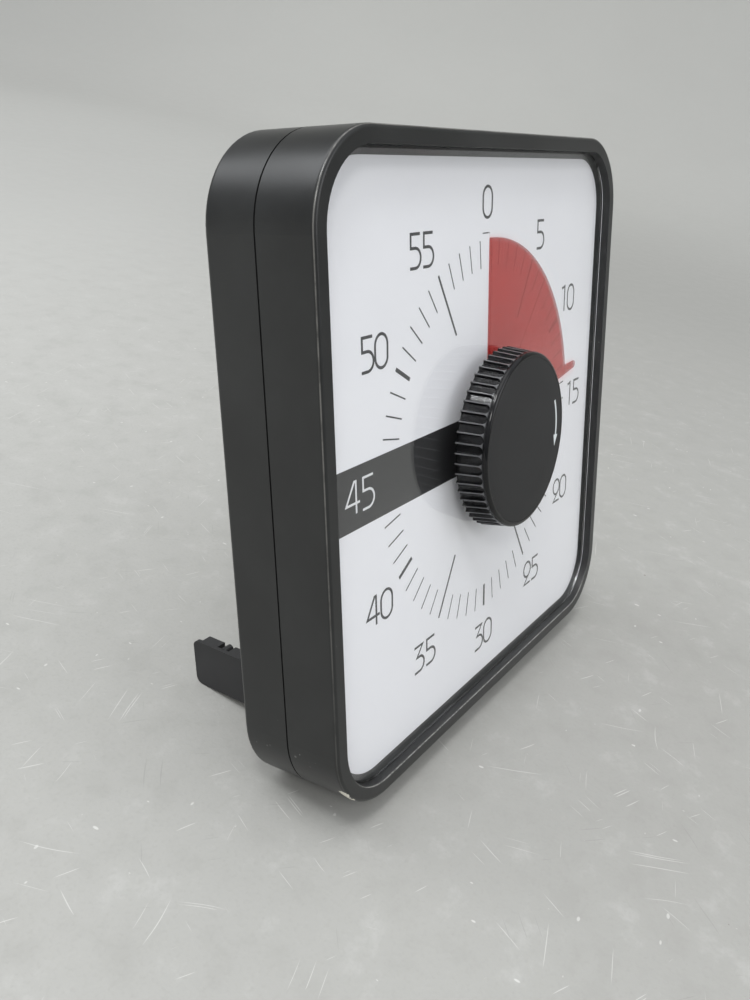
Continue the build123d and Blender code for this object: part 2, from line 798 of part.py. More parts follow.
# ---------------------------------------------------------------- motor
coil_high = rotor_post[1] - stator_width / 2
coil_low = coil_high - coil_length
stator_depth = movement_inner + stator_front
core_depth = stator_depth + stator_thickness / 2
arm_low = coil_low - stator_width / 2
arm_bend = (coil_x - coil_flange_radius - stator_width, arm_low)


def bar_face(start, stop, width):
    """Fill a round-ended bar between two points in the sketch that calls this."""
    SlotCenterPoint(((start[0] + stop[0]) / 2, (start[1] + stop[1]) / 2), stop, width)


with BuildPart() as stator:
    with BuildSketch(dial.offset(-stator_depth)):
        with Locations(rotor_post):
            Circle(magnet_radius + stator_gap + stator_width / 2)
        bar_face(rotor_post, (coil_x, rotor_post[1]), stator_width)
        bar_face(rotor_post, arm_bend, stator_width)
        bar_face(arm_bend, (coil_x, arm_low), stator_width)
        with Locations(rotor_post):
            Circle(magnet_radius + stator_gap, mode=Mode.SUBTRACT)
    extrude(amount=-stator_thickness)
    with BuildSketch(shelf.offset(arm_low)):
        with Locations((coil_x, core_depth)):
            Circle(coil_core_radius)
    extrude(amount=rotor_post[1] - arm_low)
finish(stator, "stator")

with BuildPart() as coil:
    with BuildSketch(shelf.offset(coil_low)):
        with Locations((coil_x, core_depth)):
            Circle(coil_flange_radius)
    extrude(amount=coil_length)
    with BuildSketch(shelf.offset(coil_low + coil_flange)):
        with Locations((coil_x, core_depth)):
            Circle(coil_flange_radius)
            Circle(coil_radius, mode=Mode.SUBTRACT)
    extrude(amount=coil_length - 2 * coil_flange, mode=Mode.SUBTRACT)
    with BuildSketch(shelf.offset(coil_low)):
        with Locations((coil_x, core_depth)):
            Circle(coil_core_radius)
    extrude(amount=coil_length, mode=Mode.SUBTRACT)
finish(coil, "coil")

# ---------------------------------------------------------------- circuit board
board_front = movement_inner + board_depth
board_back = board_front + board_thickness
board_low = board_y - board_height / 2
terminal_low = board_low + terminal_inset

with BuildPart() as circuit_board:
    with BuildSketch(dial.offset(-board_front)):
        with Locations((board_x, board_y)):
            Rectangle(board_width, board_height)
    extrude(amount=-board_thickness)
    with BuildSketch(dial.offset(-board_back)):
        with Locations((wire_notch_x, terminal_low + terminal_width / 2)):
            Rectangle(terminal_length, terminal_width)
    extrude(amount=-terminal_height)
finish(circuit_board, "circuit_board")

with BuildPart() as timer_chip:
    with BuildSketch(dial.offset(-board_front)):
        with Locations((board_x, board_y + chip_size / 2)):
            Rectangle(chip_size, chip_size)
    extrude(amount=chip_height)
finish(timer_chip, "timer_chip")

with BuildPart() as quartz_crystal:
    with BuildSketch(flank.offset(board_x - crystal_length / 2)):
        with Locations((board_front - crystal_radius, board_y - chip_size / 2)):
            Circle(crystal_radius)
    extrude(amount=crystal_length)
finish(quartz_crystal, "quartz_crystal")

leaf_y = -cam_radius - contact_gap - contact_leaf / 2
leaf_foot_x = board_x - board_width / 2 + 2 * peg_radius
board_high = board_y + board_height / 2

with BuildPart() as alarm_contact:
    with BuildSketch(dial.offset(-board_front)):
        with Locations(((leaf_foot_x - cam_radius) / 2, leaf_y)):
            Rectangle(leaf_foot_x + cam_radius + contact_leaf, contact_leaf)
        with Locations((leaf_foot_x, (leaf_y + board_high) / 2 - peg_radius)):
            Rectangle(contact_leaf, leaf_y - board_high + 2 * peg_radius)
    extrude(amount=board_front - cam_front)
finish(alarm_contact, "alarm_contact")

# ---------------------------------------------------------------- rear housing
tongue_width = cavity_width - 2 * shell_gap
tongue_height = cavity_height - 2 * shell_gap
tongue_corner = cavity_corner - shell_gap
tongue_inner_width = tongue_width - 2 * tongue_thickness
tongue_inner_height = tongue_height - 2 * tongue_thickness
tongue_inner_corner = tongue_corner - tongue_thickness
pocket_length = pocket_outer - pocket_inner
pocket_rise = pocket_top - pocket_bottom
door_top = bay_y + door_height / 2 - door_gap
slot_roof = door_tab_skin - door_gap
slot_height = door_slot_back + door_tab_length + door_slot_gap

with BuildPart() as rear_housing:
    with BuildSketch(dial.offset(-case_depth)):
        with Locations(case_middle):
            RectangleRounded(case_width, case_height, case_corner)
    extrude(amount=case_depth - rear_start)
    fillet(rear_housing.faces().sort_by(dial_axis)[0].edges(), back_round)
    with BuildSketch(dial.offset(-rear_floor)):
        with Locations(case_middle):
            RectangleRounded(cavity_width, cavity_height, cavity_corner)
    extrude(amount=rear_floor - rear_start - tongue_root, mode=Mode.SUBTRACT)
    # tongue that enters the front shell
    with BuildSketch(dial.offset(-rear_start - tongue_root)):
        with Locations(case_middle):
            RectangleRounded(tongue_inner_width, tongue_inner_height, tongue_inner_corner)
    extrude(amount=tongue_root, mode=Mode.SUBTRACT)
    with BuildSketch(dial.offset(-rear_start)):
        with Locations(case_middle):
            RectangleRounded(tongue_width, tongue_height, tongue_corner)
            RectangleRounded(
                tongue_inner_width, tongue_inner_height, tongue_inner_corner, mode=Mode.SUBTRACT
            )
    extrude(amount=tongue_length)
    # bosses, buzzer ring, battery tub and leg pockets, before they are hollowed
    with BuildSketch(dial.offset(-rear_floor)):
        with Locations(case_middle):
            with GridLocations(screw_spacing_x, screw_spacing_y, 2, 2):
                Circle(screw_boss_radius)
    extrude(amount=rear_floor - boss_meeting)
    with BuildSketch(dial.offset(-rear_floor)):
        with Locations((buzzer_x, buzzer_y)):
            Circle(buzzer_ring_outer)
            Circle(buzzer_ring_inner, mode=Mode.SUBTRACT)
    extrude(amount=buzzer_ring_height)
    with BuildSketch(dial.offset(-rear_floor + buzzer_ring_height)):
        with Locations((buzzer_x, buzzer_y)):
            Circle(buzzer_radius + fit)
    extrude(amount=-buzzer_ring_step, mode=Mode.SUBTRACT)
    with BuildSketch(dial.offset(-rear_floor)):
        with Locations((0, bay_y)):
            Rectangle(bay_length + 2 * bay_wall, bay_height + 2 * bay_wall)
    extrude(amount=rear_floor - bay_floor + bay_wall)
    with BuildSketch(dial.offset(-rear_floor)):
        for side in (-1, 1):
            with Locations((side * (pocket_inner + pocket_outer) / 2, (pocket_bottom + pocket_top) / 2)):
                Rectangle(pocket_length + 2 * leg_pocket_wall, pocket_rise + 2 * leg_pocket_wall)
    extrude(amount=rear_floor - pocket_depth + leg_pocket_wall)
    # hollows
    with BuildSketch(dial.offset(-case_depth)):
        with Locations((0, bay_y)):
            Rectangle(bay_length, bay_height)
    extrude(amount=case_depth - bay_floor, mode=Mode.SUBTRACT)
    with BuildSketch(dial.offset(-case_depth)):
        with Locations((0, bay_y)):
            Rectangle(door_width, door_height)
    extrude(amount=door_thickness, mode=Mode.SUBTRACT)
    with BuildSketch(dial.offset(-case_depth)):
        with Locations((0, bay_y - door_height / 2)):
            Circle(thumb_radius)
    extrude(amount=thumb_depth, mode=Mode.SUBTRACT)
    with BuildSketch(dial.offset(-case_depth + slot_roof)):
        with Locations((0, door_top - door_slot_back + slot_height / 2)):
            with GridLocations(door_tab_spacing, 0, 2, 1):
                Rectangle(door_tab_width + 2 * door_slot_gap, slot_height)
    extrude(amount=door_slot_depth - slot_roof, mode=Mode.SUBTRACT)
    with BuildSketch(dial.offset(-case_depth)):
        for side in (-1, 1):
            with Locations((side * (pocket_inner + pocket_outer) / 2, (pocket_bottom + pocket_top) / 2)):
                Rectangle(pocket_length, pocket_rise)
    extrude(amount=case_depth - pocket_depth, mode=Mode.SUBTRACT)
    with BuildSketch(shelf.offset(pocket_bottom - leg_pocket_wall)):
        with Locations((leg_x, leg_axis_depth), (-leg_x, leg_axis_depth)):
            Circle(leg_pin_radius)
    extrude(amount=pocket_rise + 2 * leg_pocket_wall, mode=Mode.SUBTRACT)
    # slots in the tub's upper wall for the contact tails
    with BuildSketch(dial.offset(-battery_depth - tail_width / 2 - tail_gap)):
        with Locations((0, bay_y + bay_height / 2 + bay_wall / 2)):
            with GridLocations(bay_length - contact_thickness, 0, 2, 1):
                Rectangle(contact_thickness + 2 * tail_gap, 2 * bay_wall)
    extrude(amount=tail_width + 2 * tail_gap, mode=Mode.SUBTRACT)
    # switch recess and slot
    with BuildSketch(dial.offset(-case_depth)):
        with Locations((switch_x, switch_y)):
            Rectangle(switch_recess_length, switch_recess_width)
    extrude(amount=switch_recess, mode=Mode.SUBTRACT)
    with BuildSketch(dial.offset(-case_depth)):
        with Locations((switch_x, switch_y)):
            Rectangle(
                switch_stem_length + 2 * switch_travel + 2 * switch_gap,
                switch_stem_width + 2 * switch_gap,
            )
    extrude(amount=wall, mode=Mode.SUBTRACT)
    # sound holes
    with BuildSketch(dial.offset(-case_depth)):
        with Locations((buzzer_x, buzzer_y)):
            Circle(sound_hole_radius)
            with PolarLocations(sound_hole_circle, sound_hole_count):
                Circle(sound_hole_radius)
    extrude(amount=wall, mode=Mode.SUBTRACT)
    # screw holes with sunk seats
    with BuildSketch(dial.offset(-case_depth)):
        with Locations(case_middle):
            with GridLocations(screw_spacing_x, screw_spacing_y, 2, 2):
                Circle(screw_radius)
    extrude(amount=case_depth - boss_meeting, mode=Mode.SUBTRACT)
    with BuildSketch(dial.offset(-case_depth)):
        with Locations(case_middle):
            with GridLocations(screw_spacing_x, screw_spacing_y, 2, 2):
                Circle(screw_head_radius + screw_head_gap)
    extrude(amount=screw_seat, mode=Mode.SUBTRACT)
finish(rear_housing, "rear_housing")

with BuildPart() as case_screws:
    with BuildSketch(dial.offset(-screw_seat_depth)):
        with Locations(case_middle):
            with GridLocations(screw_spacing_x, screw_spacing_y, 2, 2):
                Circle(screw_head_radius)
    extrude(amount=-screw_head)
    with BuildSketch(dial.offset(-screw_seat_depth)):
        with Locations(case_middle):
            with GridLocations(screw_spacing_x, screw_spacing_y, 2, 2):
                Circle(screw_radius)
    extrude(amount=screw_length)
finish(case_screws, "case_screws")

# ---------------------------------------------------------------- battery, contacts and door
with BuildPart() as battery:
    with BuildSketch(flank.offset(battery_end - battery_length)):
        with Locations((battery_depth, bay_y)):
            Circle(battery_radius)
    extrude(amount=battery_length)
    with BuildSketch(flank.offset(battery_end)):
        with Locations((battery_depth, bay_y)):
            Circle(nub_radius)
    extrude(amount=nub_length)
finish(battery, "battery")

tail_top = bay_y + bay_height / 2 + bay_wall + tail_rise

with BuildPart() as contact_plates:
    for start in (bay_end - contact_thickness, -bay_end):
        with BuildSketch(flank.offset(start)):
            with Locations((battery_depth, bay_y)):
                Rectangle(contact_size, contact_size)
            with Locations((battery_depth, (bay_y + tail_top) / 2)):
                Rectangle(tail_width, tail_top - bay_y)
        extrude(amount=contact_thickness)
finish(contact_plates, "contact_plates")

spring_start = -bay_end + contact_thickness + spring_wire
spring_stop = battery_end - battery_length - spring_wire
spring_height = spring_stop - spring_start
spring_centre = dial_centre + inward * battery_depth + upward * bay_y + Vector(spring_start, 0, 0)

with BuildPart() as contact_spring:
    with BuildLine() as spring_path:
        Helix(
            spring_height / spring_turns, spring_height, spring_large, center=spring_centre,
            direction=(1, 0, 0),
            cone_angle=-math.degrees(math.atan((spring_large - spring_small) / spring_height)),
        )
    with BuildSketch(Plane(origin=spring_path.line @ 0, z_dir=spring_path.line % 0)):
        Circle(spring_wire)
    sweep()
finish(contact_spring, "contact_spring")

with BuildPart() as battery_door:
    with BuildSketch(dial.offset(-case_depth)):
        with Locations((0, bay_y)):
            Rectangle(door_width - 2 * door_gap, door_height - 2 * door_gap)
    extrude(amount=door_thickness - door_seat_gap)
    with BuildSketch(dial.offset(-case_depth + door_tab_skin)):
        with Locations((0, door_top)):
            with GridLocations(door_tab_spacing, 0, 2, 1):
                Rectangle(door_tab_width, 2 * door_tab_length)
    extrude(amount=door_tab_thickness)
    with BuildSketch(dial.offset(-case_depth + door_thickness - door_seat_gap)):
        with Locations((0, bay_y - bay_height / 2 + latch_gap + latch_thickness / 2)):
            Rectangle(latch_width, latch_thickness)
    extrude(amount=latch_length)
finish(battery_door, "battery_door")

# ---------------------------------------------------------------- switch and buzzer
with BuildPart() as switch_body:
    with BuildSketch(dial.offset(-rear_floor)):
        with Locations((switch_x, switch_y)):
            Rectangle(switch_body_length, switch_body_width)
    extrude(amount=switch_body_depth)
    with BuildSketch(dial.offset(-rear_floor)):
        with Locations((switch_x, switch_y)):
            Rectangle(
                switch_stem_length + 2 * switch_travel + 2 * switch_gap,
                switch_stem_width + 2 * switch_gap,
            )
    extrude(amount=switch_stem_depth + switch_gap, mode=Mode.SUBTRACT)
finish(switch_body, "switch_body")

switch_head_thickness = switch_recess - 2 * door_seat_gap

with BuildPart() as switch_knob:
    with BuildSketch(dial.offset(-case_depth + door_seat_gap)):
        with Locations((switch_x, switch_y)):
            Rectangle(switch_head_length, switch_head_width)
    extrude(amount=switch_head_thickness)
    with BuildSketch(dial.offset(-case_depth + door_seat_gap)):
        with Locations((switch_x, switch_y)):
            Rectangle(switch_stem_length, switch_stem_width)
    extrude(amount=wall + switch_stem_depth - door_seat_gap)
finish(switch_knob, "switch_knob")

buzzer_depth = rear_floor - buzzer_ring_height + buzzer_ring_step

with BuildPart() as piezo_buzzer:
    with BuildSketch(dial.offset(-buzzer_depth)):
        with Locations((buzzer_x, buzzer_y)):
            Circle(buzzer_radius)
    extrude(amount=buzzer_thickness)
    with BuildSketch(dial.offset(-buzzer_depth + buzzer_thickness)):
        with Locations((buzzer_x, buzzer_y)):
            Circle(ceramic_radius)
    extrude(amount=ceramic_thickness)
finish(piezo_buzzer, "piezo_buzzer")

# ---------------------------------------------------------------- legs and their pins
leg_names = {-1: "leg_left", 1: "leg_right"}
catch_middle = leg_reach - catch_start - catch_length / 2
catch_top = leg_top - (leg_reach - catch_middle) * leg_slope
catch_floor = catch_top - catch_depth
for side, name in leg_names.items():
    inner_face = leg_x - leg_thickness / 2
    with BuildPart() as leg:
        # side view: foot and top edges rise towards the far end
        with BuildSketch(flank.offset(side * leg_x - leg_thickness / 2)):
            Polygon(
                (leg_axis_depth, root_bottom), (leg_reach, leg_bottom), (leg_reach, leg_top),
                (leg_axis_depth, root_top),
                align=None,
            )
        extrude(amount=leg_thickness)
        # barrel around the hinge pin, as high as the pocket lets it be
        with BuildSketch(shelf.offset(root_bottom)):
            with Locations((side * leg_x, leg_axis_depth)):
                Circle(leg_thickness / 2)
        extrude(amount=leg_top - root_bottom)
        with BuildSketch(shelf.offset(root_bottom)):
            with Locations((side * leg_x, leg_axis_depth)):
                Circle(leg_pin_radius + fit)
        extrude(amount=leg_top - root_bottom, mode=Mode.SUBTRACT)
        far_edges = leg.edges().filter_by(Axis.X).group_by(Axis(dial_centre, inward))[-1]
        foot_edge = far_edges.sort_by(up_axis)[0]
        top_edge = far_edges.sort_by(up_axis)[-1]
        fillet(foot_edge, leg_foot_round)
        fillet(top_edge, leg_top_round)
        # only the outer skin reaches the far end
        with BuildSketch(shelf.offset(root_bottom)):
            with Locations((side * (inner_face + (leg_thickness - leg_plate) / 2), leg_reach)):
                Rectangle(leg_thickness - leg_plate, 2 * leg_step)
        extrude(amount=leg_top - root_bottom, mode=Mode.SUBTRACT)
        # catch recess in the inner side of the top, with a round lug across it
        with BuildSketch(shelf.offset(catch_floor)):
            with Locations((side * (inner_face + catch_width / 2), catch_middle)):
                Rectangle(catch_width, catch_length)
        extrude(amount=2 * catch_depth, mode=Mode.SUBTRACT)
        with BuildSketch(flank.offset(side * inner_face)):
            with Locations((catch_middle, catch_top + lug_rise - lug_radius)):
                Circle(lug_radius)
            with Locations((catch_middle, catch_floor + catch_depth / 2)):
                Rectangle(lug_radius, catch_depth)
        extrude(amount=side * catch_width)
    finish(leg, name)

with BuildPart() as leg_pins:
    with BuildSketch(shelf.offset(pocket_bottom - leg_pocket_wall)):
        with Locations((leg_x, leg_axis_depth), (-leg_x, leg_axis_depth)):
            Circle(leg_pin_radius)
    extrude(amount=pocket_rise + 2 * leg_pocket_wall)
finish(leg_pins, "leg_pins")

# ---------------------------------------------------------------- places the record repeats
print(f"dial centre  y {dial_centre_y:.3f}  z {dial_centre_z:.3f}")
print(f"outline  front {outline_front + dial_centre_y:.3f}  back {outline_back + dial_centre_y:.3f}")
print(f"leg bottom {leg_bottom:.3f}  leg top {leg_top:.3f}  leg axis depth {leg_axis_depth:.3f}")
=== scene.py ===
# %% [markdown]
# # A square countdown timer, dressed around its imported frame
#
# The imported model brings every hard part of the timer: two black shells, the window, the dial card,
# the movement and the legs. This lesson leaves those parts where they are. It gives each one a
# finish, and makes the things that are too fine or too soft for the solids: the printed dial, the
# red film that shows the time left, and the ribbed grip of the knob.

# %% Load the frame
import bpy
import json
import math
from mathutils import Matrix, Vector


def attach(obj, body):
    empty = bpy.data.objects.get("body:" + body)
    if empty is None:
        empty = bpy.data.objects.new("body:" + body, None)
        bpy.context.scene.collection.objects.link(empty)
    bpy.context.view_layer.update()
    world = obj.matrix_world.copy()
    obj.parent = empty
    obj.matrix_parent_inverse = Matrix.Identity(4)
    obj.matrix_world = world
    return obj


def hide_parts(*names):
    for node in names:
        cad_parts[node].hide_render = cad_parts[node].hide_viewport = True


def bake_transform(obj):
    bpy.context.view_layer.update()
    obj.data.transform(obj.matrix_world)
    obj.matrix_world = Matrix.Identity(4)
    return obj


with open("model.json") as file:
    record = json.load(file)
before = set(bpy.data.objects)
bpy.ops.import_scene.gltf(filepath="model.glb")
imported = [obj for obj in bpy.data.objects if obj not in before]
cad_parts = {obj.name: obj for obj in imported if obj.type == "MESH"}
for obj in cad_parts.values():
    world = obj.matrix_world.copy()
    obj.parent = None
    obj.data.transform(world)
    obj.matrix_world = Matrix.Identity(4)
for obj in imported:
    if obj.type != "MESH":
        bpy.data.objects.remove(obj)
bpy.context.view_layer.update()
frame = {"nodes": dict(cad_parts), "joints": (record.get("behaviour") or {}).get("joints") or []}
joints = {joint["name"]: joint for joint in frame["joints"]}

# %% [markdown]
# ## The dial is the ruler
#
# The case leans back, so the room's axes are awkward for anything printed on the dial. The knob's
# axis and the left leg's hinge already say how the case leans. From them comes one matrix that takes
# dial millimetres (right, up, out of the dial) to metres in the room, and all fine work is written in
# those millimetres.

# %% Dial axes
dial_centre = Vector(joints["knob_turn"]["pos_m"])
dial_out = -Vector(joints["knob_turn"]["axis"]).normalized()
dial_up = Vector(joints["leg_left_fold"]["axis"]).normalized()
dial_right = dial_up.cross(dial_out)
dial_turn = Matrix((dial_right, dial_up, dial_out)).transposed()
dial_place = Matrix.Translation(dial_centre) @ dial_turn.to_4x4() @ Matrix.Scale(0.001, 4)


def on_dial(x, y, out=0.0):
    """A point given in dial millimetres, in metres in the room."""
    return dial_place @ Vector((x, y, out))


print("lean: %.1f degrees" % math.degrees(math.asin(dial_out.z)))

# %% [markdown]
# ## Camera
#
# The timer is seen from its left and from above, with the camera rolled a little to the side, as if it
# were held by hand. Three turns say that more plainly than a matrix: round to the side, down, and the
# roll. Both the eye's place and its turns are given on the dial's own axes, so the dial is seen in the
# same way whatever the case's lean.

# %% Camera
eye_on_dial = (-262.41, 80.29, 136.79)
view_turn, view_tilt, view_roll = -55.163, -19.301, -1.429
lens_length = 32.33


def turn_about(angle, axis):
    """A turn by some degrees about one axis, as a matrix."""
    return Matrix.Rotation(math.radians(angle), 4, axis)


camera = bpy.data.objects.new("viewpoint", bpy.data.cameras.new("viewpoint"))
bpy.context.scene.collection.objects.link(camera)
camera.data.lens = lens_length
camera.data.clip_start = 0.01
case_turn = Matrix((dial_right, -dial_out, dial_up)).transposed().to_4x4()
camera.matrix_world = (
    Matrix.Translation(on_dial(*eye_on_dial)) @ case_turn
    @ turn_about(view_turn, "Z") @ turn_about(90 + view_tilt, "X") @ turn_about(view_roll, "Z")
)
bpy.context.scene.camera = camera
print("camera: lens", lens_length, "mm")

# %% [markdown]
# ## Helpers for meshes and nodes
#
# A few small helpers keep the later cells short. One turns points and faces in dial millimetres into
# a finished object at the origin. One adds a node and fills its sockets, with a link where the value
# is itself a socket, and short names for the commonest nodes stand on it. One reads a modifier's result
# back as a plain mesh.

# %% Mesh helper
def piece_from(name, points, faces, material=None, smooth_angle=None, place=dial_place):
    """A mesh object from points and faces, its place kept in its mesh."""
    mesh = bpy.data.meshes.new(name)
    mesh.from_pydata([tuple(point) for point in points], [], faces)
    mesh.transform(place)
    if smooth_angle is not None:
        mesh.shade_smooth()
        mesh.set_sharp_from_angle(angle=math.radians(smooth_angle))
    if material:
        mesh.materials.append(material)
    mesh.validate()
    piece = bpy.data.objects.new(name, mesh)
    bpy.context.scene.collection.objects.link(piece)
    return piece


def rides(piece, body):
    """The piece moves with a body."""
    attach(piece, body)
    print("piece:", piece.name, "-", len(piece.data.polygons), "faces on", body)
    return piece


# %% Node helpers
def fill(node, inputs):
    """Fills a node's inputs; a value that is a socket is linked."""
    for key, value in inputs.items():
        if isinstance(value, bpy.types.NodeSocket):
            node.id_data.links.new(value, node.inputs[key])
        else:
            node.inputs[key].default_value = value


def add_node(tree, kind, inputs=None, **settings):
    """A node with its settings and inputs filled."""
    node = tree.nodes.new(kind)
    for setting, value in settings.items():
        setattr(node, setting, value)
    fill(node, inputs or {})
    return node


def math_of(tree, operation, *values, clamp=False):
    """One Math node over some values or sockets; gives its output socket."""
    inputs = dict(enumerate(values))
    return add_node(tree, "ShaderNodeMath", inputs, operation=operation, use_clamp=clamp).outputs[0]


def product_of(tree, first, *others):
    """Several values multiplied."""
    for other in others:
        first = math_of(tree, "MULTIPLY", first, other)
    return first


def vector_of(tree, operation, *values, **named):
    """One Vector Math node; a length, a distance or a dot product is a number, the rest are vectors."""
    inputs = {**dict(enumerate(values)), **named}
    node = add_node(tree, "ShaderNodeVectorMath", inputs, operation=operation)
    return node.outputs["Value" if operation in ("LENGTH", "DISTANCE", "DOT_PRODUCT") else "Vector"]


def axes_of(tree, spot):
    """The X, Y and Z sockets of a vector."""
    return add_node(tree, "ShaderNodeSeparateXYZ", {0: spot}).outputs


def noise_of(tree, spot, scale, detail, roughness=0.5):
    """A cloudy value that wanders about one half."""
    return add_node(tree, "ShaderNodeTexNoise", {
        "Vector": spot, "Scale": scale, "Detail": detail, "Roughness": roughness}).outputs["Fac"]


def step_of(tree, value, low, high, to_low=0.0, to_high=1.0):
    """A value carried smoothly from one range to another."""
    return add_node(tree, "ShaderNodeMapRange", {
        "Value": value, "From Min": low, "From Max": high, "To Min": to_low, "To Max": to_high,
    }, interpolation_type="SMOOTHSTEP").outputs["Result"]


# %% Colour helpers
def opaque(colour):
    """Red, green and blue with a full alpha; a socket stays as it is."""
    return colour if isinstance(colour, bpy.types.NodeSocket) else (*colour, 1)


def blend_of(tree, factor, low, high):
    """A colour between two others."""
    inputs = {0: factor, 6: opaque(low), 7: opaque(high)}
    return add_node(tree, "ShaderNodeMix", inputs, data_type="RGBA").outputs[2]


def shade(colour, factor):
    """A colour made deeper or paler."""
    return tuple(factor * channel for channel in colour)


def bump_of(tree, height, strength, depth):
    """A surface direction bent by a height; the depth is in millimetres."""
    return add_node(tree, "ShaderNodeBump", {
        "Height": height, "Strength": strength, "Distance": depth / 1000}).outputs[0]


# %% Geometry Nodes helper
def geometry_tree(name, sockets):
    """An empty geometry tree with named inputs; gives the tree and its input and output nodes."""
    tree = bpy.data.node_groups.new(name, "GeometryNodeTree")
    tree.interface.new_socket("Geometry", in_out="INPUT", socket_type="NodeSocketGeometry")
    for socket, kind in sockets.items():
        tree.interface.new_socket(socket, in_out="INPUT", socket_type=kind)
    tree.interface.new_socket("Geometry", in_out="OUTPUT", socket_type="NodeSocketGeometry")
    return tree, tree.nodes.new("NodeGroupInput"), tree.nodes.new("NodeGroupOutput")


def grown(piece, tree, values):
    """Runs a geometry tree on a piece and keeps its result as the piece's own plain mesh."""
    modifier = piece.modifiers.new(tree.name, "NODES")
    modifier.node_group = tree
    for socket in tree.interface.items_tree:
        if socket.in_out == "INPUT" and socket.name in values:
            modifier[socket.identifier] = values[socket.name]
    graph = bpy.context.evaluated_depsgraph_get()
    mesh = bpy.data.meshes.new_from_object(piece.evaluated_get(graph))
    piece.modifiers.clear()
    piece.data = mesh
    return piece


# %% [markdown]
# ## Shared effects: moulding grain, dust, and rubbed edges with a painted highlight
#
# Every black moulding on the timer has the same three small effects. Its tool was etched, so it has a
# grain that only shows as a soft sheen; it has picked up specks of dust; and its rounded edges are
# painted a little paler than its flats, partly as rubbing and partly as a painted highlight. Each effect
# is one node group, built once. A group gives masks and heights only, and the material decides what to
# do with them.

# %% Start of a group
def effect_group(name, inputs, outputs):
    """A shader group of numbers; gives it, its inputs, its end, its coordinates and millimetres."""
    group = bpy.data.node_groups.new(name, "ShaderNodeTree")
    for socket, value in inputs.items():
        made = group.interface.new_socket(socket, in_out="INPUT", socket_type="NodeSocketFloat")
        made.default_value = value
    for socket in outputs:
        group.interface.new_socket(socket, in_out="OUTPUT", socket_type="NodeSocketFloat")
    group_in, group_out = group.nodes.new("NodeGroupInput"), group.nodes.new("NodeGroupOutput")
    spot = add_node(group, "ShaderNodeTexCoord").outputs
    return group, group_in.outputs, group_out, spot, vector_of(group, "SCALE", spot["Object"], Scale=1000.0)


# %% Moulding grain
grain, asked, given, _, millimetres = effect_group(
    "moulding_grain", {"Per millimetre": 3.0, "Cloud size": 0.03}, ["Height", "Cloud"])
fill(given, {
    "Height": noise_of(grain, millimetres, asked["Per millimetre"], 3.0, 0.6),
    "Cloud": noise_of(grain, millimetres, asked["Cloud size"], 4.0, 0.55),
})


# %% Dust
# Specks are scattered by a Voronoi pattern: a share of its cells holds one speck each, of its own size.
def scattered(tree, spot, scale, share, size, sharpness, dimensions="3D"):
    """A mask of separate small marks."""
    cells = add_node(tree, "ShaderNodeTexVoronoi", {"Vector": spot, "Scale": scale},
                     voronoi_dimensions=dimensions)
    luck = add_node(tree, "ShaderNodeSeparateColor", {"Color": cells.outputs["Color"]}).outputs
    inside = math_of(tree, "SUBTRACT", product_of(tree, luck[1], size), cells.outputs["Distance"])
    chosen = math_of(tree, "LESS_THAN", luck[0], share)
    return product_of(tree, math_of(tree, "MULTIPLY", inside, sharpness, clamp=True), chosen)


dust, asked, given, _, millimetres = effect_group(
    "settled_dust", {"Per millimetre": 0.3, "Share": 0.2, "Speck": 0.06}, ["Specks"])
fill(given, {"Specks": scattered(
    dust, millimetres, asked["Per millimetre"], asked["Share"], asked["Speck"], 60.0)})

# %% Rubbed edges with a painted highlight
# A rounded edge is where the surface faces neither straight out of the dial nor straight sideways.
# There the colour is painted paler, partly for rubbing and partly as a painted highlight, and the
# paling fades downwards.
rub_highlight_group, asked, given, spot, millimetres = effect_group(
    "rubbed_edges_highlight", {"Amount": 0.5, "Patch size": 0.12}, ["Rub_highlight"])
facing = math_of(rub_highlight_group, "ABSOLUTE", vector_of(rub_highlight_group, "DOT_PRODUCT", spot["Normal"], tuple(dial_out)))
rounded = product_of(rub_highlight_group, step_of(rub_highlight_group, facing, 0.36, 0.5), step_of(rub_highlight_group, facing, 0.74, 0.6))
patches = noise_of(rub_highlight_group, millimetres, asked["Patch size"], 5.0, 0.7)
patchy = step_of(rub_highlight_group, patches, 0.32, 0.56, 0.3, 1.0)
higher = step_of(rub_highlight_group, axes_of(rub_highlight_group, millimetres)["Z"], 20.0, 140.0, 0.3, 1.0)
fill(given, {"Rub_highlight": product_of(rub_highlight_group, rounded, patchy, higher, asked["Amount"])})
print("effects:", [group.name for group in (grain, dust, rub_highlight_group)])


# %% [markdown]
# ## Finishes of the black mouldings
#
# The case, the legs and the cap are all black plastic, and they differ in gloss more than in colour.
# One function makes each of them from its own gloss, grain and paler rounded edges (rub and painted
# highlight), so that they stay a family. The base colour is a true plastic black; the grey that the eye
# sees on it is the room in its sheen, apart from the painted highlight on the rounded edges.

# %% Start of a material
def new_material(name):
    """A material with a Principled shader; gives the material, its tree and the shader node."""
    material = bpy.data.materials.new(name)
    material.use_nodes = True
    tree = material.node_tree
    return material, tree, tree.nodes["Principled BSDF"]


def dial_coordinates(tree):
    """Coordinates in dial millimetres, for a pattern that sits at a known place on the dial."""
    spot = add_node(tree, "ShaderNodeTexCoord")
    return add_node(tree, "ShaderNodeMapping", {
        "Vector": spot.outputs["Object"], "Location": tuple(dial_centre),
        "Rotation": tuple(dial_turn.to_euler()), "Scale": (0.001, 0.001, 0.001),
    }, vector_type="TEXTURE").outputs[0]


def effect(tree, group, **values):
    """A shared effect placed in a material, with its own values."""
    node = add_node(tree, "ShaderNodeGroup", node_tree=group)
    for key, value in values.items():
        node.inputs[key.replace("_", " ")].default_value = value
    return node


# %% Black plastic
rub_highlight_grey, dust_grey = (0.3, 0.29, 0.27), (0.4, 0.4, 0.38)


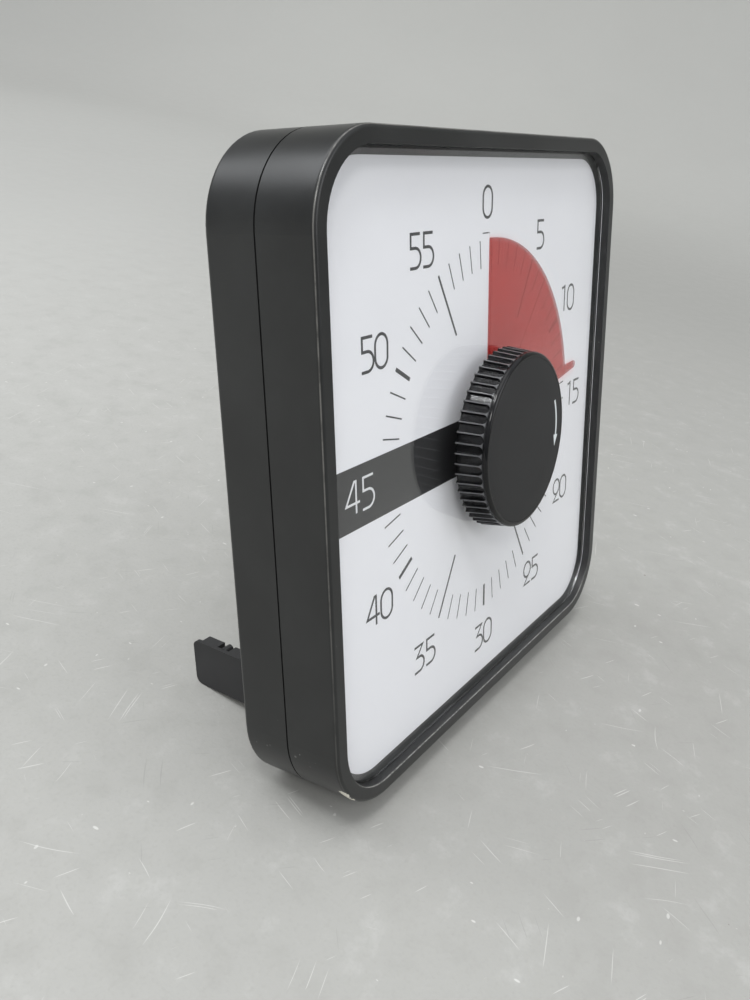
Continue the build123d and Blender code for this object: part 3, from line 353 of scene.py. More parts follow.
def black_plastic(name, colour, gloss, grain_depth=0.02, grain_scale=3.0, rub_highlight_amount=0.35, dust_share=0.12):
    """Moulded black plastic. gloss is from 0, dull, to 1, polished."""
    material, tree, shader = new_material(name)
    moulded = effect(tree, grain, Per_millimetre=grain_scale).outputs
    specks = effect(tree, dust, Share=dust_share).outputs["Specks"]
    rub_highlight_mask = effect(tree, rub_highlight_group, Amount=rub_highlight_amount).outputs["Rub_highlight"]
    cloudy = step_of(tree, moulded["Cloud"], 0.35, 0.75, 0.0, 0.35)
    base = blend_of(tree, cloudy, colour, shade(colour, 3.2))
    # Rounded edges painted paler: partly rubbing, partly a painted highlight.
    base = blend_of(tree, rub_highlight_mask, base, rub_highlight_grey)
    base = blend_of(tree, product_of(tree, specks, 0.7), base, dust_grey)
    rough = step_of(tree, moulded["Cloud"], 0.3, 0.7, 0.96 - gloss, 1.05 - gloss)
    fill(shader, {
        "Base Color": base,
        "Roughness": math_of(tree, "SUBTRACT", rough, product_of(tree, rub_highlight_mask, 0.15)),
        "Normal": bump_of(tree, moulded["Height"], 0.35, grain_depth),
    })
    return material


leg_black = black_plastic("leg_black_plastic", (0.02, 0.02, 0.021), 0.45, rub_highlight_amount=0.2)
cap_black = black_plastic("cap_matte_plastic", (0.0115, 0.0115, 0.0117), 0.36, grain_depth=0.02,
                          grain_scale=5.0, rub_highlight_amount=0.0, dust_share=0.03)
case_black = black_plastic("case_black_plastic", (0.0115, 0.012, 0.0118), 0.68, rub_highlight_amount=0.45)
knob_black = black_plastic("knob_gloss_plastic", (0.003, 0.003, 0.0034), 0.93, grain_depth=0.0008,
                           grain_scale=0.9, rub_highlight_amount=0.0, dust_share=0.05)
knob_black.node_tree.nodes["Principled BSDF"].inputs["Specular IOR Level"].default_value = 0.34


def lay_over(material, mask, colour):
    """Lays a colour over a material's own where a mask says so."""
    shader = material.node_tree.nodes["Principled BSDF"]
    before = shader.inputs["Base Color"].links[0].from_socket
    fill(shader, {"Base Color": blend_of(material.node_tree, mask, before, colour)})


print("black plastics:", [m.name for m in (case_black, leg_black, knob_black, cap_black)])

# %% [markdown]
# The crests of the knob's ridges carry a painted highlight: a paler thin line that stands in for the
# light they catch, and that line is what draws the ribs. A crest is found by its radius: the knob's wall
# tapers, so the taper is added back before the radius is compared with the wall's.

# %% Painted highlight on the crests of the knob's ridges
knob_base, knob_face, groove_end = 5.1, 15.8, 14.3
base_radius, top_radius = 30.0, 28.8
knob_taper = (base_radius - top_radius) / (knob_face - knob_base)
wall_at_dial = base_radius + knob_taper * knob_base
tree = knob_black.node_tree
spot = dial_coordinates(tree)
out = axes_of(tree, spot)["Z"]
radius = vector_of(tree, "LENGTH", vector_of(tree, "MULTIPLY", spot, (1, 1, 0)))
untapered = math_of(tree, "ADD", radius, product_of(tree, out, knob_taper))
crest_highlight = step_of(tree, untapered, wall_at_dial - 0.092, wall_at_dial - 0.012)
below_shoulder = step_of(tree, out, groove_end + 0.1, groove_end - 0.4)
# Painted highlight: the crests are made paler below the shoulder.
lay_over(knob_black, product_of(tree, crest_highlight, below_shoulder, 0.5), (0.26, 0.26, 0.27))

# %% [markdown]
# The case has marks of its own. At its lower left front corner the black is knocked off and pale
# plastic shows. A thin pale line runs along the inner edge of the bezel at the bottom, and a few
# clusters of dust sit low on the left side. Each mark has a known place on the dial's ruler, so each
# mask starts from a distance in dial millimetres.

# %% Pale line on the inner edge of the bezel
# The distance to the window's rounded outline: zero on the edge, in millimetres.
tree = case_black.node_tree
spot = dial_coordinates(tree)
along_x, along_y, out = axes_of(tree, spot)
ragged = noise_of(tree, spot, 0.9, 3.0)
window_half, window_round, case_centre = (90.3, 90.8, 0.0), 20.0, (0.0, -0.9, 0.0)
corner_start = tuple(max(0.0, half - window_round) for half in window_half)
flat_spot = vector_of(tree, "MULTIPLY", vector_of(tree, "SUBTRACT", spot, case_centre), (1, 1, 0))
past_corner = vector_of(tree, "SUBTRACT", vector_of(tree, "ABSOLUTE", flat_spot), corner_start)
reach = vector_of(tree, "LENGTH", vector_of(tree, "MAXIMUM", past_corner, (0, 0, 0)))
off_edge = math_of(tree, "ABSOLUTE", math_of(tree, "SUBTRACT", reach, window_round))
edge_line = product_of(
    tree, step_of(tree, off_edge, 0.34, 0.14), step_of(tree, out, 4.9, 5.2),
    step_of(tree, along_y, -80, -90), step_of(tree, ragged, 0.36, 0.56, 0.35, 1.0))
# A thin pale line is laid along the bottom of the window's inner edge.
lay_over(case_black, edge_line, (0.27, 0.265, 0.25))

# %% Dust clusters
clusters = step_of(tree, noise_of(tree, spot, 0.06, 2.0), 0.54, 0.66)
grit = effect(tree, dust, Per_millimetre=0.75, Share=0.4, Speck=0.32).outputs["Specks"]
low_left = product_of(tree, step_of(tree, along_y, -25, -50), step_of(tree, along_x, -94, -95))
lay_over(case_black, product_of(tree, grit, clusters, low_left, 0.5), dust_grey)

# %% The chip
# It is thick at its head and runs out into a thin tail, so the mask is the distance to a short line,
# compared with a width that shrinks along it.
chip_head, chip_tail = Vector((-91.3, -85.2, 3.7)), Vector((-87.0, -89.6, 4.8))
head_width, tail_width = 1.25, 0.25
chip_run = chip_tail - chip_head
from_head = vector_of(tree, "SUBTRACT", spot, chip_head)
along = vector_of(tree, "DOT_PRODUCT", from_head, chip_run / chip_run.length_squared)
along = math_of(tree, "MAXIMUM", math_of(tree, "MINIMUM", along, 1.0), 0.0)
beside = vector_of(tree, "DISTANCE", from_head, vector_of(tree, "SCALE", chip_run, Scale=along))
uneven = product_of(tree, math_of(tree, "SUBTRACT", ragged, 0.5), 1.6)
chip_width = step_of(tree, along, 0.15, 0.75, head_width, tail_width)
outside = math_of(tree, "SUBTRACT", math_of(tree, "ADD", beside, uneven), chip_width)
lay_over(case_black, step_of(tree, outside, 0.08, -0.08), (0.86, 0.82, 0.70))
print("marks on the case: edge line, dust clusters, chip")

# %% [markdown]
# ## Window, card and inks
#
# The window is clear acrylic. Real glass blocks the simple shadow rays that light the card behind it,
# so for shadow and diffuse rays the window is plainly transparent, and for the eye it still bends
# and mirrors. The card is printed paper board: white with a trace of blue, and a weak fibre. The inks
# are the same idea with other colours, glossier where the ink lies thick.

# %% Window
window_clear, tree, shader = new_material("window_acrylic")
smears = effect(tree, grain, Per_millimetre=0.05, Cloud_size=0.02).outputs["Cloud"]
fill(shader, {
    "Transmission Weight": 1.0, "IOR": 1.42, "Base Color": (0.985, 0.99, 0.99, 1),
    "Roughness": step_of(tree, smears, 0.3, 0.8, 0.0, 0.06),
})


def let_light_through(tree, shader, tint):
    """For shadow and diffuse rays the surface is plain see-through, with a tint."""
    path = add_node(tree, "ShaderNodeLightPath").outputs
    passing = math_of(tree, "MAXIMUM", path["Is Shadow Ray"], path["Is Diffuse Ray"])
    through = add_node(tree, "ShaderNodeBsdfTransparent", {"Color": opaque(tint)})
    either = add_node(tree, "ShaderNodeMixShader", {
        0: passing, 1: shader.outputs[0], 2: through.outputs[0]})
    fill(tree.nodes["Material Output"], {"Surface": either.outputs[0]})


let_light_through(tree, shader, (1, 1, 1))


# %% Card and inks
def printed(name, colour, gloss, fibre=0.004, mottle=0.04):
    """Paper board or the ink on it."""
    material, tree, shader = new_material(name)
    paper = effect(tree, grain, Per_millimetre=1.6, Cloud_size=0.02).outputs
    fill(shader, {
        "Base Color": blend_of(tree, paper["Cloud"], shade(colour, 1 - mottle), shade(colour, 1 + mottle)),
        "Roughness": step_of(tree, paper["Height"], 0.3, 0.7, 0.97 - gloss, 1.0 - gloss),
        "Normal": bump_of(tree, paper["Height"], 0.2, fibre),
    })
    return material


card_white = printed("dial_card_white", (0.92, 0.92, 0.955), 0.35)
ink_grey = printed("ink_dark_grey", (0.022, 0.022, 0.025), 0.45)
ink_black = printed("ink_black_band", (0.016, 0.016, 0.017), 0.5, mottle=0.1)
ink_white = printed("ink_white", (0.82, 0.82, 0.84), 0.45)
arrow_white = printed("arrow_paint_white", (0.75, 0.79, 0.8), 0.55)
print("inks:", [m.name for m in (card_white, ink_grey, ink_black, ink_white, arrow_white)])

# %% [markdown]
# ## The red film's material
#
# The disc that shows the time left is thin tinted plastic. Red light passes it and the rest is held
# back, so the dial's marks still show through as darker red lines. A part of the film is see-through
# for the eye, and for shadow rays all of it lets red through, which lights the card behind it.

# %% Film
# Painted reflection: fine darker streaks run out from the middle, a noise over the angle alone, many times
# round.
film_red, tree, shader = new_material("film_tinted_red")
film_colour, film_light, reflection_streaks_round = (0.385, 0.047, 0.039), (1.0, 0.13, 0.11), 45.0
tint = effect(tree, grain, Per_millimetre=0.5, Cloud_size=0.025).outputs
film_x, film_y, _ = axes_of(tree, dial_coordinates(tree))
film_angle = product_of(tree, math_of(tree, "ARCTAN2", film_x, film_y), reflection_streaks_round)
reflection_streaks = add_node(tree, "ShaderNodeTexNoise", {"W": film_angle, "Detail": 3.0}, noise_dimensions="1D")
red = blend_of(tree, tint["Cloud"], shade(film_colour, 0.9), film_colour)
# Painted reflection streaks darken the red.
painted_reflection_streak = step_of(tree, reflection_streaks.outputs["Fac"], 0.3, 0.7, 0.0, 0.4)
fill(shader, {
    "Base Color": blend_of(tree, painted_reflection_streak, red, shade(film_colour, 0.72)),
    "Roughness": step_of(tree, tint["Height"], 0.3, 0.7, 0.32, 0.42),
    "Alpha": step_of(tree, tint["Cloud"], 0.2, 0.8, 0.5, 0.56),
})
let_light_through(tree, shader, film_light)
print("film: each of its two skins hides about half")

# %% [markdown]
# ## Finishes inside the case
#
# The inner parts are hidden while the case is shut, but they are real parts, and somebody may open
# it. Plain mouldings share one recipe, metals another with fine brushing, and a few parts get a
# pattern of their own: windings on the coil, tracks on the board, a wrapper on the cell.

# %% Mouldings and metals
def plain_moulding(name, colour, gloss):
    """A coloured moulding with a faint flow pattern."""
    material, tree, shader = new_material(name)
    flow = effect(tree, grain, Per_millimetre=1.2, Cloud_size=0.08).outputs
    fill(shader, {
        "Base Color": blend_of(tree, flow["Cloud"], shade(colour, 0.85), colour),
        "Roughness": step_of(tree, flow["Height"], 0.3, 0.7, 0.95 - gloss, 1.0 - gloss),
    })
    return material


def metal(name, colour, roughness, brushing=0.15):
    """A metal with brush lines across it."""
    material, tree, shader = new_material(name)
    spot = add_node(tree, "ShaderNodeTexCoord").outputs["Object"]
    drawn = add_node(tree, "ShaderNodeMapping", {"Vector": spot, "Scale": (400.0, 9000.0, 9000.0)})
    lines = noise_of(tree, drawn.outputs[0], 1.0, 2.0)
    tarnish = effect(tree, grain, Cloud_size=0.25).outputs["Cloud"]
    fill(shader, {
        "Metallic": 1.0,
        "Base Color": blend_of(tree, tarnish, colour, shade(colour, 0.72)),
        "Roughness": step_of(tree, lines, 0.3, 0.7, roughness - brushing / 2, roughness + brushing),
    })
    return material


# %% [markdown]
# Three parts carry a pattern that runs round or across them. A sine of one coordinate, made hard or
# soft with a range node, is enough for copper turns, for the bands of a battery wrapper and for the
# straight tracks of a simple board.

# %% Striped parts
def striped(name, colours, axis, per_mm, share, roughness, metallic=0.0):
    """Stripes across one dial axis, between two colours."""
    material, tree, shader = new_material(name)
    along = axes_of(tree, dial_coordinates(tree))[axis]
    wave = math_of(tree, "SINE", product_of(tree, along, 2 * math.pi * per_mm))
    edge = 2 * share - 1
    stripe = step_of(tree, wave, edge - 0.15, edge + 0.15)
    fill(shader, {
        "Metallic": metallic,
        "Base Color": blend_of(tree, stripe, *colours),
        "Roughness": math_of(tree, "ADD", roughness, product_of(tree, stripe, 0.12)),
        "Normal": bump_of(tree, stripe, 0.4, 0.05),
    })
    return material


# %% Inner finishes
inner_finishes = {
    "inner_plastic": plain_moulding("inner_nylon", (0.62, 0.61, 0.57), 0.45),
    "movement_grey": plain_moulding("movement_grey_abs", (0.11, 0.115, 0.12), 0.5),
    "gear_white": plain_moulding("gear_acetal", (0.72, 0.72, 0.69), 0.55),
    "chip_black": plain_moulding("chip_epoxy", (0.015, 0.015, 0.016), 0.3),
    "screw_steel": metal("screw_zinc_steel", (0.52, 0.52, 0.5), 0.34),
    "arbor_steel": metal("arbor_bright_steel", (0.6, 0.6, 0.6), 0.25),
    "spring_steel": metal("spring_nickel_steel", (0.62, 0.6, 0.57), 0.28),
    "motor_iron": metal("motor_soft_iron", (0.4, 0.4, 0.4), 0.42),
    "crystal_can": metal("crystal_tin_can", (0.66, 0.65, 0.62), 0.22),
    "contact_brass": metal("contact_brass", (0.68, 0.52, 0.25), 0.3),
}
# name, the two colours, axis, stripes to a millimetre, share, roughness, metal
for slot, stripes in {
    "coil_copper": ("coil_copper_turns", ((0.5, 0.2, 0.09), (0.72, 0.33, 0.17)), 1, 5.0, 0.4, 0.25, 0.9),
    "board_green": ("board_green_tracks", ((0.02, 0.13, 0.06), (0.05, 0.2, 0.09)), 0, 0.5, 0.7, 0.35),
    "battery_can": ("cell_wrapper", ((0.06, 0.065, 0.075), (0.3, 0.31, 0.33)), 0, 0.021, 0.75, 0.28, 0.3),
}.items():
    inner_finishes[slot] = striped(*stripes)
print("inner finishes:", len(inner_finishes))

# %% [markdown]
# ## Each CAD part gets its finish
#
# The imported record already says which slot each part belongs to: it is the name of the material that
# the part arrives with. So the table of finishes is keyed by slot, and one loop dresses every part.

# %% Dress the CAD parts
finishes = dict(inner_finishes, case_black=case_black, leg_black=leg_black, knob_black=knob_black,
                cap_black=cap_black, lens_clear=window_clear, dial_white=card_white, film_red=film_red)
for name, node in frame["nodes"].items():
    for holder in node.material_slots:
        holder.material = finishes[holder.material.name.split(".")[0]]
print("dressed", len(frame["nodes"]), "parts")

# %% [markdown]
# ## Ribbons and slabs of ink
#
# Figures and marks are thin layers of ink, so each is a ribbon: a path with a width, laid just above
# the card. The ribbon's corners are mitred so that a sharp turn, as in a 5, stays sharp. A shape that is
# no line, such as the band or an arrow's head, is a slab: an outline with a thickness. Both are closed
# shapes a few hundredths of a millimetre thick, and so they are still there in the mesh file.

# %% Ribbon
def ribbon(path, width, low, high, closed=False):
    """Points and faces of a slab that follows a flat path."""
    points, faces, count = [], [], len(path)
    for i, (x, y) in enumerate(path):
        before = path[i - 1] if closed or i else path[i]
        after = path[(i + 1) % count] if closed or i < count - 1 else path[i]
        come = Vector((x - before[0], y - before[1]))
        go = Vector((after[0] - x, after[1] - y))
        come = come.normalized() if come.length else go.normalized()
        go = go.normalized() if go.length else come
        mitre = Vector((-(come + go).y, (come + go).x)).normalized()
        mitre *= min(2.0, 1 / max(0.3, mitre.dot(Vector((-come.y, come.x))))) * width / 2
        for z in (low, high):
            points += [(x + mitre.x, y + mitre.y, z), (x - mitre.x, y - mitre.y, z)]
    for i in range(count if closed else count - 1):
        a, b = 4 * i, 4 * ((i + 1) % count)
        faces += [(a + 2, a + 3, b + 3, b + 2), (a, b, b + 1, a + 1),
                  (a, a + 2, b + 2, b), (a + 1, b + 1, b + 3, a + 3)]
    if not closed:
        last = 4 * (count - 1)
        faces += [(0, 1, 3, 2), (last, last + 2, last + 3, last + 1)]
    return points, faces


# %% Slab
def slab(outline, low, high):
    """Points and faces of a flat piece from its outline, which runs anticlockwise."""
    count = len(outline)
    points = [(x, y, out) for out in (low, high) for x, y in outline]
    faces = [tuple(reversed(range(count))), tuple(range(count, 2 * count))]
    faces += [(i, (i + 1) % count, count + (i + 1) % count, count + i) for i in range(count)]
    return points, faces


def gathered(shapes):
    """Several shapes' points and faces as one."""
    points, faces = [], []
    for some_points, some_faces in shapes:
        start = len(points)
        points += some_points
        faces += [tuple(start + i for i in face) for face in some_faces]
    return points, faces


# %% [markdown]
# ## Figures
#
# The dial's figures are tall and thin, drawn with one even line. Only six digits are needed, and each
# is written here as a pen would draw it: straight runs between corners, and parts of an oval where it
# bends. The 2 is drawn with a loop at its head, and the 4 with an open top.

# %% Digits as pen strokes
def bend(x, y, across, up, start, stop, steps=14):
    """Part of an oval, between two angles counted anticlockwise from the right."""
    angles = [math.radians(start + (stop - start) * i / steps) for i in range(steps + 1)]
    return [(x + across * math.cos(a), y + up * math.sin(a)) for a in angles]


digit_height = 9.2
digits = {
    "0": (6.0, True, bend(3, 6.1, 3, 3.1, 0, 180) + bend(3, 3.1, 3, 3.1, 180, 360)),
    "1": (2.5, False, [(0, 8.55), (1.3, 8.8), (2.5, 9.2), (2.5, 0)]),
    "2": (5.9, False, bend(3, 6.1, 2.95, 3.1, -62, -400, 30) + [(0.5, 0), (5.9, 0)]),
    "3": (5.9, False, [(0.1, 9.2), (5.1, 9.2), (1.5, 5.3), (3.0, 5.3)]
          + bend(3.1, 2.65, 2.75, 2.65, 85, -85) + [(0.2, 0)]),
    "4": (6.4, False, [(6.4, 3), (0, 3), (3.9, 9.2), (4.7, 9.2), (4.7, 0)]),
    "5": (5.5, False, [(5.1, 9.2), (0.3, 9.2), (0.3, 5.4), (2.6, 5.4)]
          + bend(2.7, 2.7, 2.8, 2.7, 88, -88) + [(-0.1, 0)]),
}


def number_shape(number, centre, pen, low, high):
    """The strokes of a number, centred on a point of the dial."""
    text, x, placed = str(number), 0.0, []
    for i, digit in enumerate(text):
        placed.append((digit, x))
        gap = 3.4 if digit == "1" else 1.4
        gap -= 0.6 if text[i + 1:i + 2] == "0" else 0.0
        x += digits[digit][0] + gap
    width = placed[-1][1] + digits[text[-1]][0]
    shapes = []
    for digit, left in placed:
        _, closed, path = digits[digit]
        path = path[:-1] if closed else path
        path = [(centre[0] + left - width / 2 + px, centre[1] - digit_height / 2 + py) for px, py in path]
        shapes.append(ribbon(path, pen, low, high, closed))
    return gathered(shapes)


# %% Figures round the dial
# The figures stand about a ring at every fifth minute. Most are moved off it a little, in millimetres
# to the right and up.
figure_ring = 75.0
figure_nudge = {0: (-2.0, -0.3), 5: (0.1, -2.0), 10: (-0.9, 1.0), 15: (-1.4, 0.4), 20: (-0.4, -0.2),
                25: (2.0, 0.4), 35: (-3.1, 0.6), 40: (-0.7, 0.3), 45: (1.2, 0.3), 50: (-0.2, 0.6),
                55: (-3.3, -2.1)}
ink_low, ink_high = 0.002, 0.03


def clock_point(radius, minute):
    """A point of the dial at a minute's direction."""
    angle = math.radians(6 * minute)
    return radius * math.sin(angle), radius * math.cos(angle)


def figure_centre(minute):
    """Where a figure stands."""
    x, y = clock_point(figure_ring, minute)
    dx, dy = figure_nudge.get(minute, (0, 0))
    return x + dx, y + dy


dark_pen, white_pen = 0.86, 0.72
dark_figures = [number_shape(m, figure_centre(m), dark_pen, ink_low, ink_high)
                for m in range(0, 60, 5) if m != 45]
rides(piece_from("dial_figures", *gathered(dark_figures), ink_grey), "case")

# %% [markdown]
# ## The black band and its white 45
#
# At nine o'clock a black band runs from the dial's edge to the knob. It is a flat slab of ink, and it
# carries a plain white 45 on top. The rest of the band is left bare.

# %% Band
band_half_height, band_left, band_right = 9.1, -87.8, -9.0
band = [(band_left, -band_half_height), (band_right, -band_half_height),
        (band_right, band_half_height), (band_left, band_half_height)]
rides(piece_from("nine_oclock_band", *slab(band, ink_low, ink_high), ink_black), "case")
white_45 = number_shape(45, figure_centre(45), white_pen, ink_high + 0.002, ink_high + 0.03)
rides(piece_from("white_figure_45", *white_45, ink_white), "case")

# %% [markdown]
# ## Minute marks, set out by Geometry Nodes
#
# Sixty marks differ only in length, width and direction, so they are points that carry those three
# numbers, and a tree sets a thin box on each. Minutes get a short fine mark, the odd fives a long
# one, and the tens a short bold one. The band covers three of them, and nought has none.

# %% Marks tree
marks_tree, marks_in, marks_out = geometry_tree("ink_marks", {
    "Thickness": "NodeSocketFloat", "Ink": "NodeSocketMaterial"})


def point_number(name):
    """The socket of a number that the points carry."""
    return add_node(marks_tree, "GeometryNodeInputNamedAttribute", {"Name": name},
                    data_type="FLOAT").outputs["Attribute"]


mark_box = add_node(marks_tree, "GeometryNodeMeshCube")
size = add_node(marks_tree, "ShaderNodeCombineXYZ", {
    0: point_number("width"), 1: point_number("length"), 2: marks_in.outputs["Thickness"]})
heading = add_node(marks_tree, "ShaderNodeCombineXYZ", {2: point_number("heading")})
to_rotation = add_node(marks_tree, "FunctionNodeEulerToRotation", {0: heading.outputs[0]})
placed = add_node(marks_tree, "GeometryNodeInstanceOnPoints", {
    "Points": marks_in.outputs["Geometry"], "Instance": mark_box.outputs["Mesh"],
    "Scale": size.outputs[0], "Rotation": to_rotation.outputs[0]})
real = add_node(marks_tree, "GeometryNodeRealizeInstances", {0: placed.outputs[0]})
inked = add_node(marks_tree, "GeometryNodeSetMaterial", {
    "Geometry": real.outputs[0], "Material": marks_in.outputs["Ink"]})
fill(marks_out, {"Geometry": inked.outputs[0]})


def set_out(name, rows, thickness, finish, body):
    """Bars from rows of place, width, length and heading in degrees, set out by the marks tree."""
    places, widths, lengths, headings = zip(*rows)
    piece = piece_from(name, places, [], place=Matrix.Identity(4))
    for label, values in (("width", widths), ("length", lengths),
                          ("heading", [math.radians(heading) for heading in headings])):
        piece.data.attributes.new(label, "FLOAT", "POINT").data.foreach_set("value", values)
    grown(piece, marks_tree, {"Thickness": thickness, "Ink": finish})
    piece.data.transform(dial_place)
    return rides(piece, body)


# %% Marks
mark_outer = 63.6
fine_mark, long_mark, bold_mark = (55.1, 0.46), (42.0, 0.85), (55.3, 1.2)   # inner radius, width


def mark_row(minute):
    """Place, width, length and heading of a minute's mark. Fifteen has a fine mark, like its neighbours."""
    inner, width = long_mark if minute % 5 == 0 and minute != 15 else fine_mark
    if minute % 10 == 0:
        inner, width = bold_mark
    place = clock_point((mark_outer + inner) / 2, minute) + ((ink_low + ink_high) / 2,)
    return place, width, mark_outer - inner, -6 * minute


rows = [mark_row(minute) for minute in range(1, 60) if minute not in (44, 45, 46)]
set_out("minute_marks", rows, ink_high - ink_low, ink_grey, "case")

# %% [markdown]
# ## The film that shows the time left
#
# On the real timer one flexible disc slides through a slit in the card: its front part shows, and
# the rest is hidden behind. Here the shown part is two leaves, each made of narrow slices, laid out as
# they stand; the script does not make them fan with the knob. A rounded tab ends the second leaf.

# %% Film leaves
film_inner, film_outer, film_low, film_high = 8.05, 64.0, 0.45, 0.75
film_shown = 81.4
leaf_span = film_shown / 2
film_steps = 82


def fan_leaf(first, last):
    """Points, faces and angles of a thin ring sector between two angles from nought."""
    points, faces, angles = [], [], []
    for i in range(film_steps + 1):
        angle = first + (last - first) * i / film_steps
        for radius, out in ((film_inner, film_low), (film_outer, film_low),
                            (film_outer, film_high), (film_inner, film_high)):
            points.append(clock_point(radius, angle / 6) + (out,))
            angles.append(angle)
        if i:
            a, b = 4 * i - 4, 4 * i
            faces += [(a + side, a + (side + 1) % 4, b + (side + 1) % 4, b + side) for side in range(4)]
    end = 4 * film_steps
    faces += [(3, 2, 1, 0), (end, end + 1, end + 2, end + 3)]
    return points, faces, angles


def fan_between(piece):
    """Bakes the piece's place into its mesh; the slices are not made to follow the knob."""
    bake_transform(piece)


# %% First leaf
# Its first edge bends down into the slit of the card, so the slit is seen filled with red.
slit_side, slit_bottom, slit_wide = -0.36, -0.55, 0.3
dip = [(slit_side, slit_bottom), (slit_side, 0.02), (0.0, film_high), (0.0, film_low),
       (slit_side + slit_wide, slit_bottom)]
dip_points, dip_faces = slab(list(reversed(dip)), film_inner + 0.5, film_outer)
dip_points = [(x, radius, out) for x, out, radius in dip_points]
dip_faces = [tuple(reversed(face)) for face in dip_faces]
points, faces, angles = fan_leaf(0, leaf_span)
points, faces = gathered([(points, faces), (dip_points, dip_faces)])
first_leaf = piece_from("red_film_first_leaf", points, faces, film_red)
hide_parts("film_leaf_1")
fan_between(first_leaf)
print("first leaf:", len(faces), "faces")

# %% Second leaf with its tab
# The tab is a flat finger that carries the leaf's last edge on outwards. It starts on the film's rim,
# is wider there, and has a round tip.
tab_reach, tab_width, tab_root_width = 9.4, 2.8, 3.6
edge_out = Vector(clock_point(1, film_shown / 6))
edge_back = Vector((-edge_out.y, edge_out.x))
tip_radius, tip_centre = tab_width / 2, film_outer + tab_reach - tab_width / 2
root_sides = [tab_root_width * (1 - i / 4) for i in range(5)]
outline = [(math.sqrt(film_outer ** 2 - beside ** 2), beside) for beside in root_sides]
outline += [(tip_centre + math.cos(a) * tip_radius, tip_radius + math.sin(a) * tip_radius)
            for a in [math.radians(-90 + 15 * i) for i in range(13)]]
tab_outline = [tuple(edge_out * reach + edge_back * beside) for reach, beside in outline]
tab_points, tab_faces = slab(tab_outline, film_low, film_high)
points, faces, angles = fan_leaf(leaf_span, film_shown)
points, faces = gathered([(points, faces), (tab_points, tab_faces)])
second_leaf = piece_from("red_film_second_leaf", points, faces, film_red)
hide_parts("film_leaf_2")
fan_between(second_leaf)
print("second leaf:", len(faces), "faces")

# %% [markdown]
# ## The ribbed knob
#
# The knob is the part that hands know best. Its skirt has fifty-six scooped grooves with thin ridges
# between them; each groove stops in a round end before the shoulder, which stays smooth and glossy.
# A shape that repeats round an axis is one slice, so the slice is made once, as rows of points down
# the knob's profile, and a tree turns copies of it round the axis and welds them into one shell.

# %% Turned copies
turned_tree, turned_in, turned_out = geometry_tree("turned_copies", {
    "Copies": "NodeSocketInt", "Weld": "NodeSocketFloat", "Finish": "NodeSocketMaterial"})
asked = turned_in.outputs
stations = add_node(turned_tree, "GeometryNodeMeshLine", {
    "Count": asked["Copies"], "Offset": (0.0, 0.0, 0.0)})
number = add_node(turned_tree, "GeometryNodeInputIndex").outputs[0]
share = math_of(turned_tree, "DIVIDE", number, asked["Copies"])
about = add_node(turned_tree, "ShaderNodeCombineXYZ", {2: product_of(turned_tree, share, 2 * math.pi)})
about = add_node(turned_tree, "FunctionNodeEulerToRotation", {0: about.outputs[0]})
copies = add_node(turned_tree, "GeometryNodeInstanceOnPoints", {
    "Points": stations.outputs["Mesh"], "Instance": asked["Geometry"], "Rotation": about.outputs[0]})
real = add_node(turned_tree, "GeometryNodeRealizeInstances", {0: copies.outputs[0]})
welded = add_node(turned_tree, "GeometryNodeMergeByDistance", {
    "Geometry": real.outputs[0], "Distance": asked["Weld"]})
finished = add_node(turned_tree, "GeometryNodeSetMaterial", {
    "Geometry": welded.outputs[0], "Material": asked["Finish"]})
fill(turned_out, {"Geometry": finished.outputs[0]})


def turned(name, profile, copies, columns, finish, shape=None):
    """A closed profile of (radius, out) points turned round the dial's axis."""
    half = math.pi / copies
    points = []
    for radius, out in profile:
        for column in columns:
            angle = column * half
            reach = shape(radius, out, angle) if shape else radius
            points.append((reach * math.cos(angle), reach * math.sin(angle), out))
    wide = len(columns)
    faces = []
    for i in range(len(profile)):
        below, above = i * wide, (i + 1) % len(profile) * wide
        faces += [(below + j, below + j + 1, above + j + 1, above + j) for j in range(wide - 1)]
    piece = piece_from(name, points, faces, place=Matrix.Identity(4))
    grown(piece, turned_tree, {"Copies": copies, "Weld": 0.0005, "Finish": finish})
    piece.data.transform(dial_place)
    piece.data.shade_smooth()
    piece.data.set_sharp_from_angle(angle=math.radians(40))
    return piece


# %% Knob profile
# From the skirt's lower edge up the wall and round the shoulder, then over the lip and down inside.
knob_plate, knob_shoulder, skirt_inner = 15.0, 1.2, 27.2
wall_heights = (7, 8.6, 10.2, 11.4, 12.4, 12.9, 13.2, 13.5, 13.75, 13.95, 14.1, groove_end)


def wall_radius(out):
    """Radius of the plain wall at a height."""
    return base_radius - knob_taper * (out - knob_base)


shoulder_start = knob_face - knob_shoulder
shoulder_centre = wall_radius(shoulder_start) - knob_shoulder
wall = [(wall_radius(z) - skin, z) for z, skin in ((knob_base, 0.35), (5.18, 0.12), (5.4, 0.0))]
wall += [(wall_radius(z), z) for z in wall_heights]
wall += [(shoulder_centre + knob_shoulder * math.cos(a), shoulder_start + knob_shoulder * math.sin(a))
         for a in [math.radians(3.75 * i) for i in range(25)]]
lip = [(27.32, knob_face), (27.3, 15.78), (27.3, 15.66), (27.3, knob_plate)]
inside = [(3.0, knob_plate), (3.0, 13.4), (1.25, 13.4), (1.25, 11.5), (2.55, 11.5), (2.55, 2.8),
          (5.0, 2.8), (5.0, 13.2), (skirt_inner, 13.2), (skirt_inner, knob_base)]

# %% Knob grooves
groove_count, groove_depth, groove_half, flank_run = 56, 0.95, 1.5, 0.5
groove_columns = [1, 0.95, 0.91, 0.87, 0.83, 0.79, 0.75, 0.71, 0.67, 0.63, 0.59, 0.45, 0.25]
groove_columns = [-c for c in groove_columns] + [0] + groove_columns[::-1]


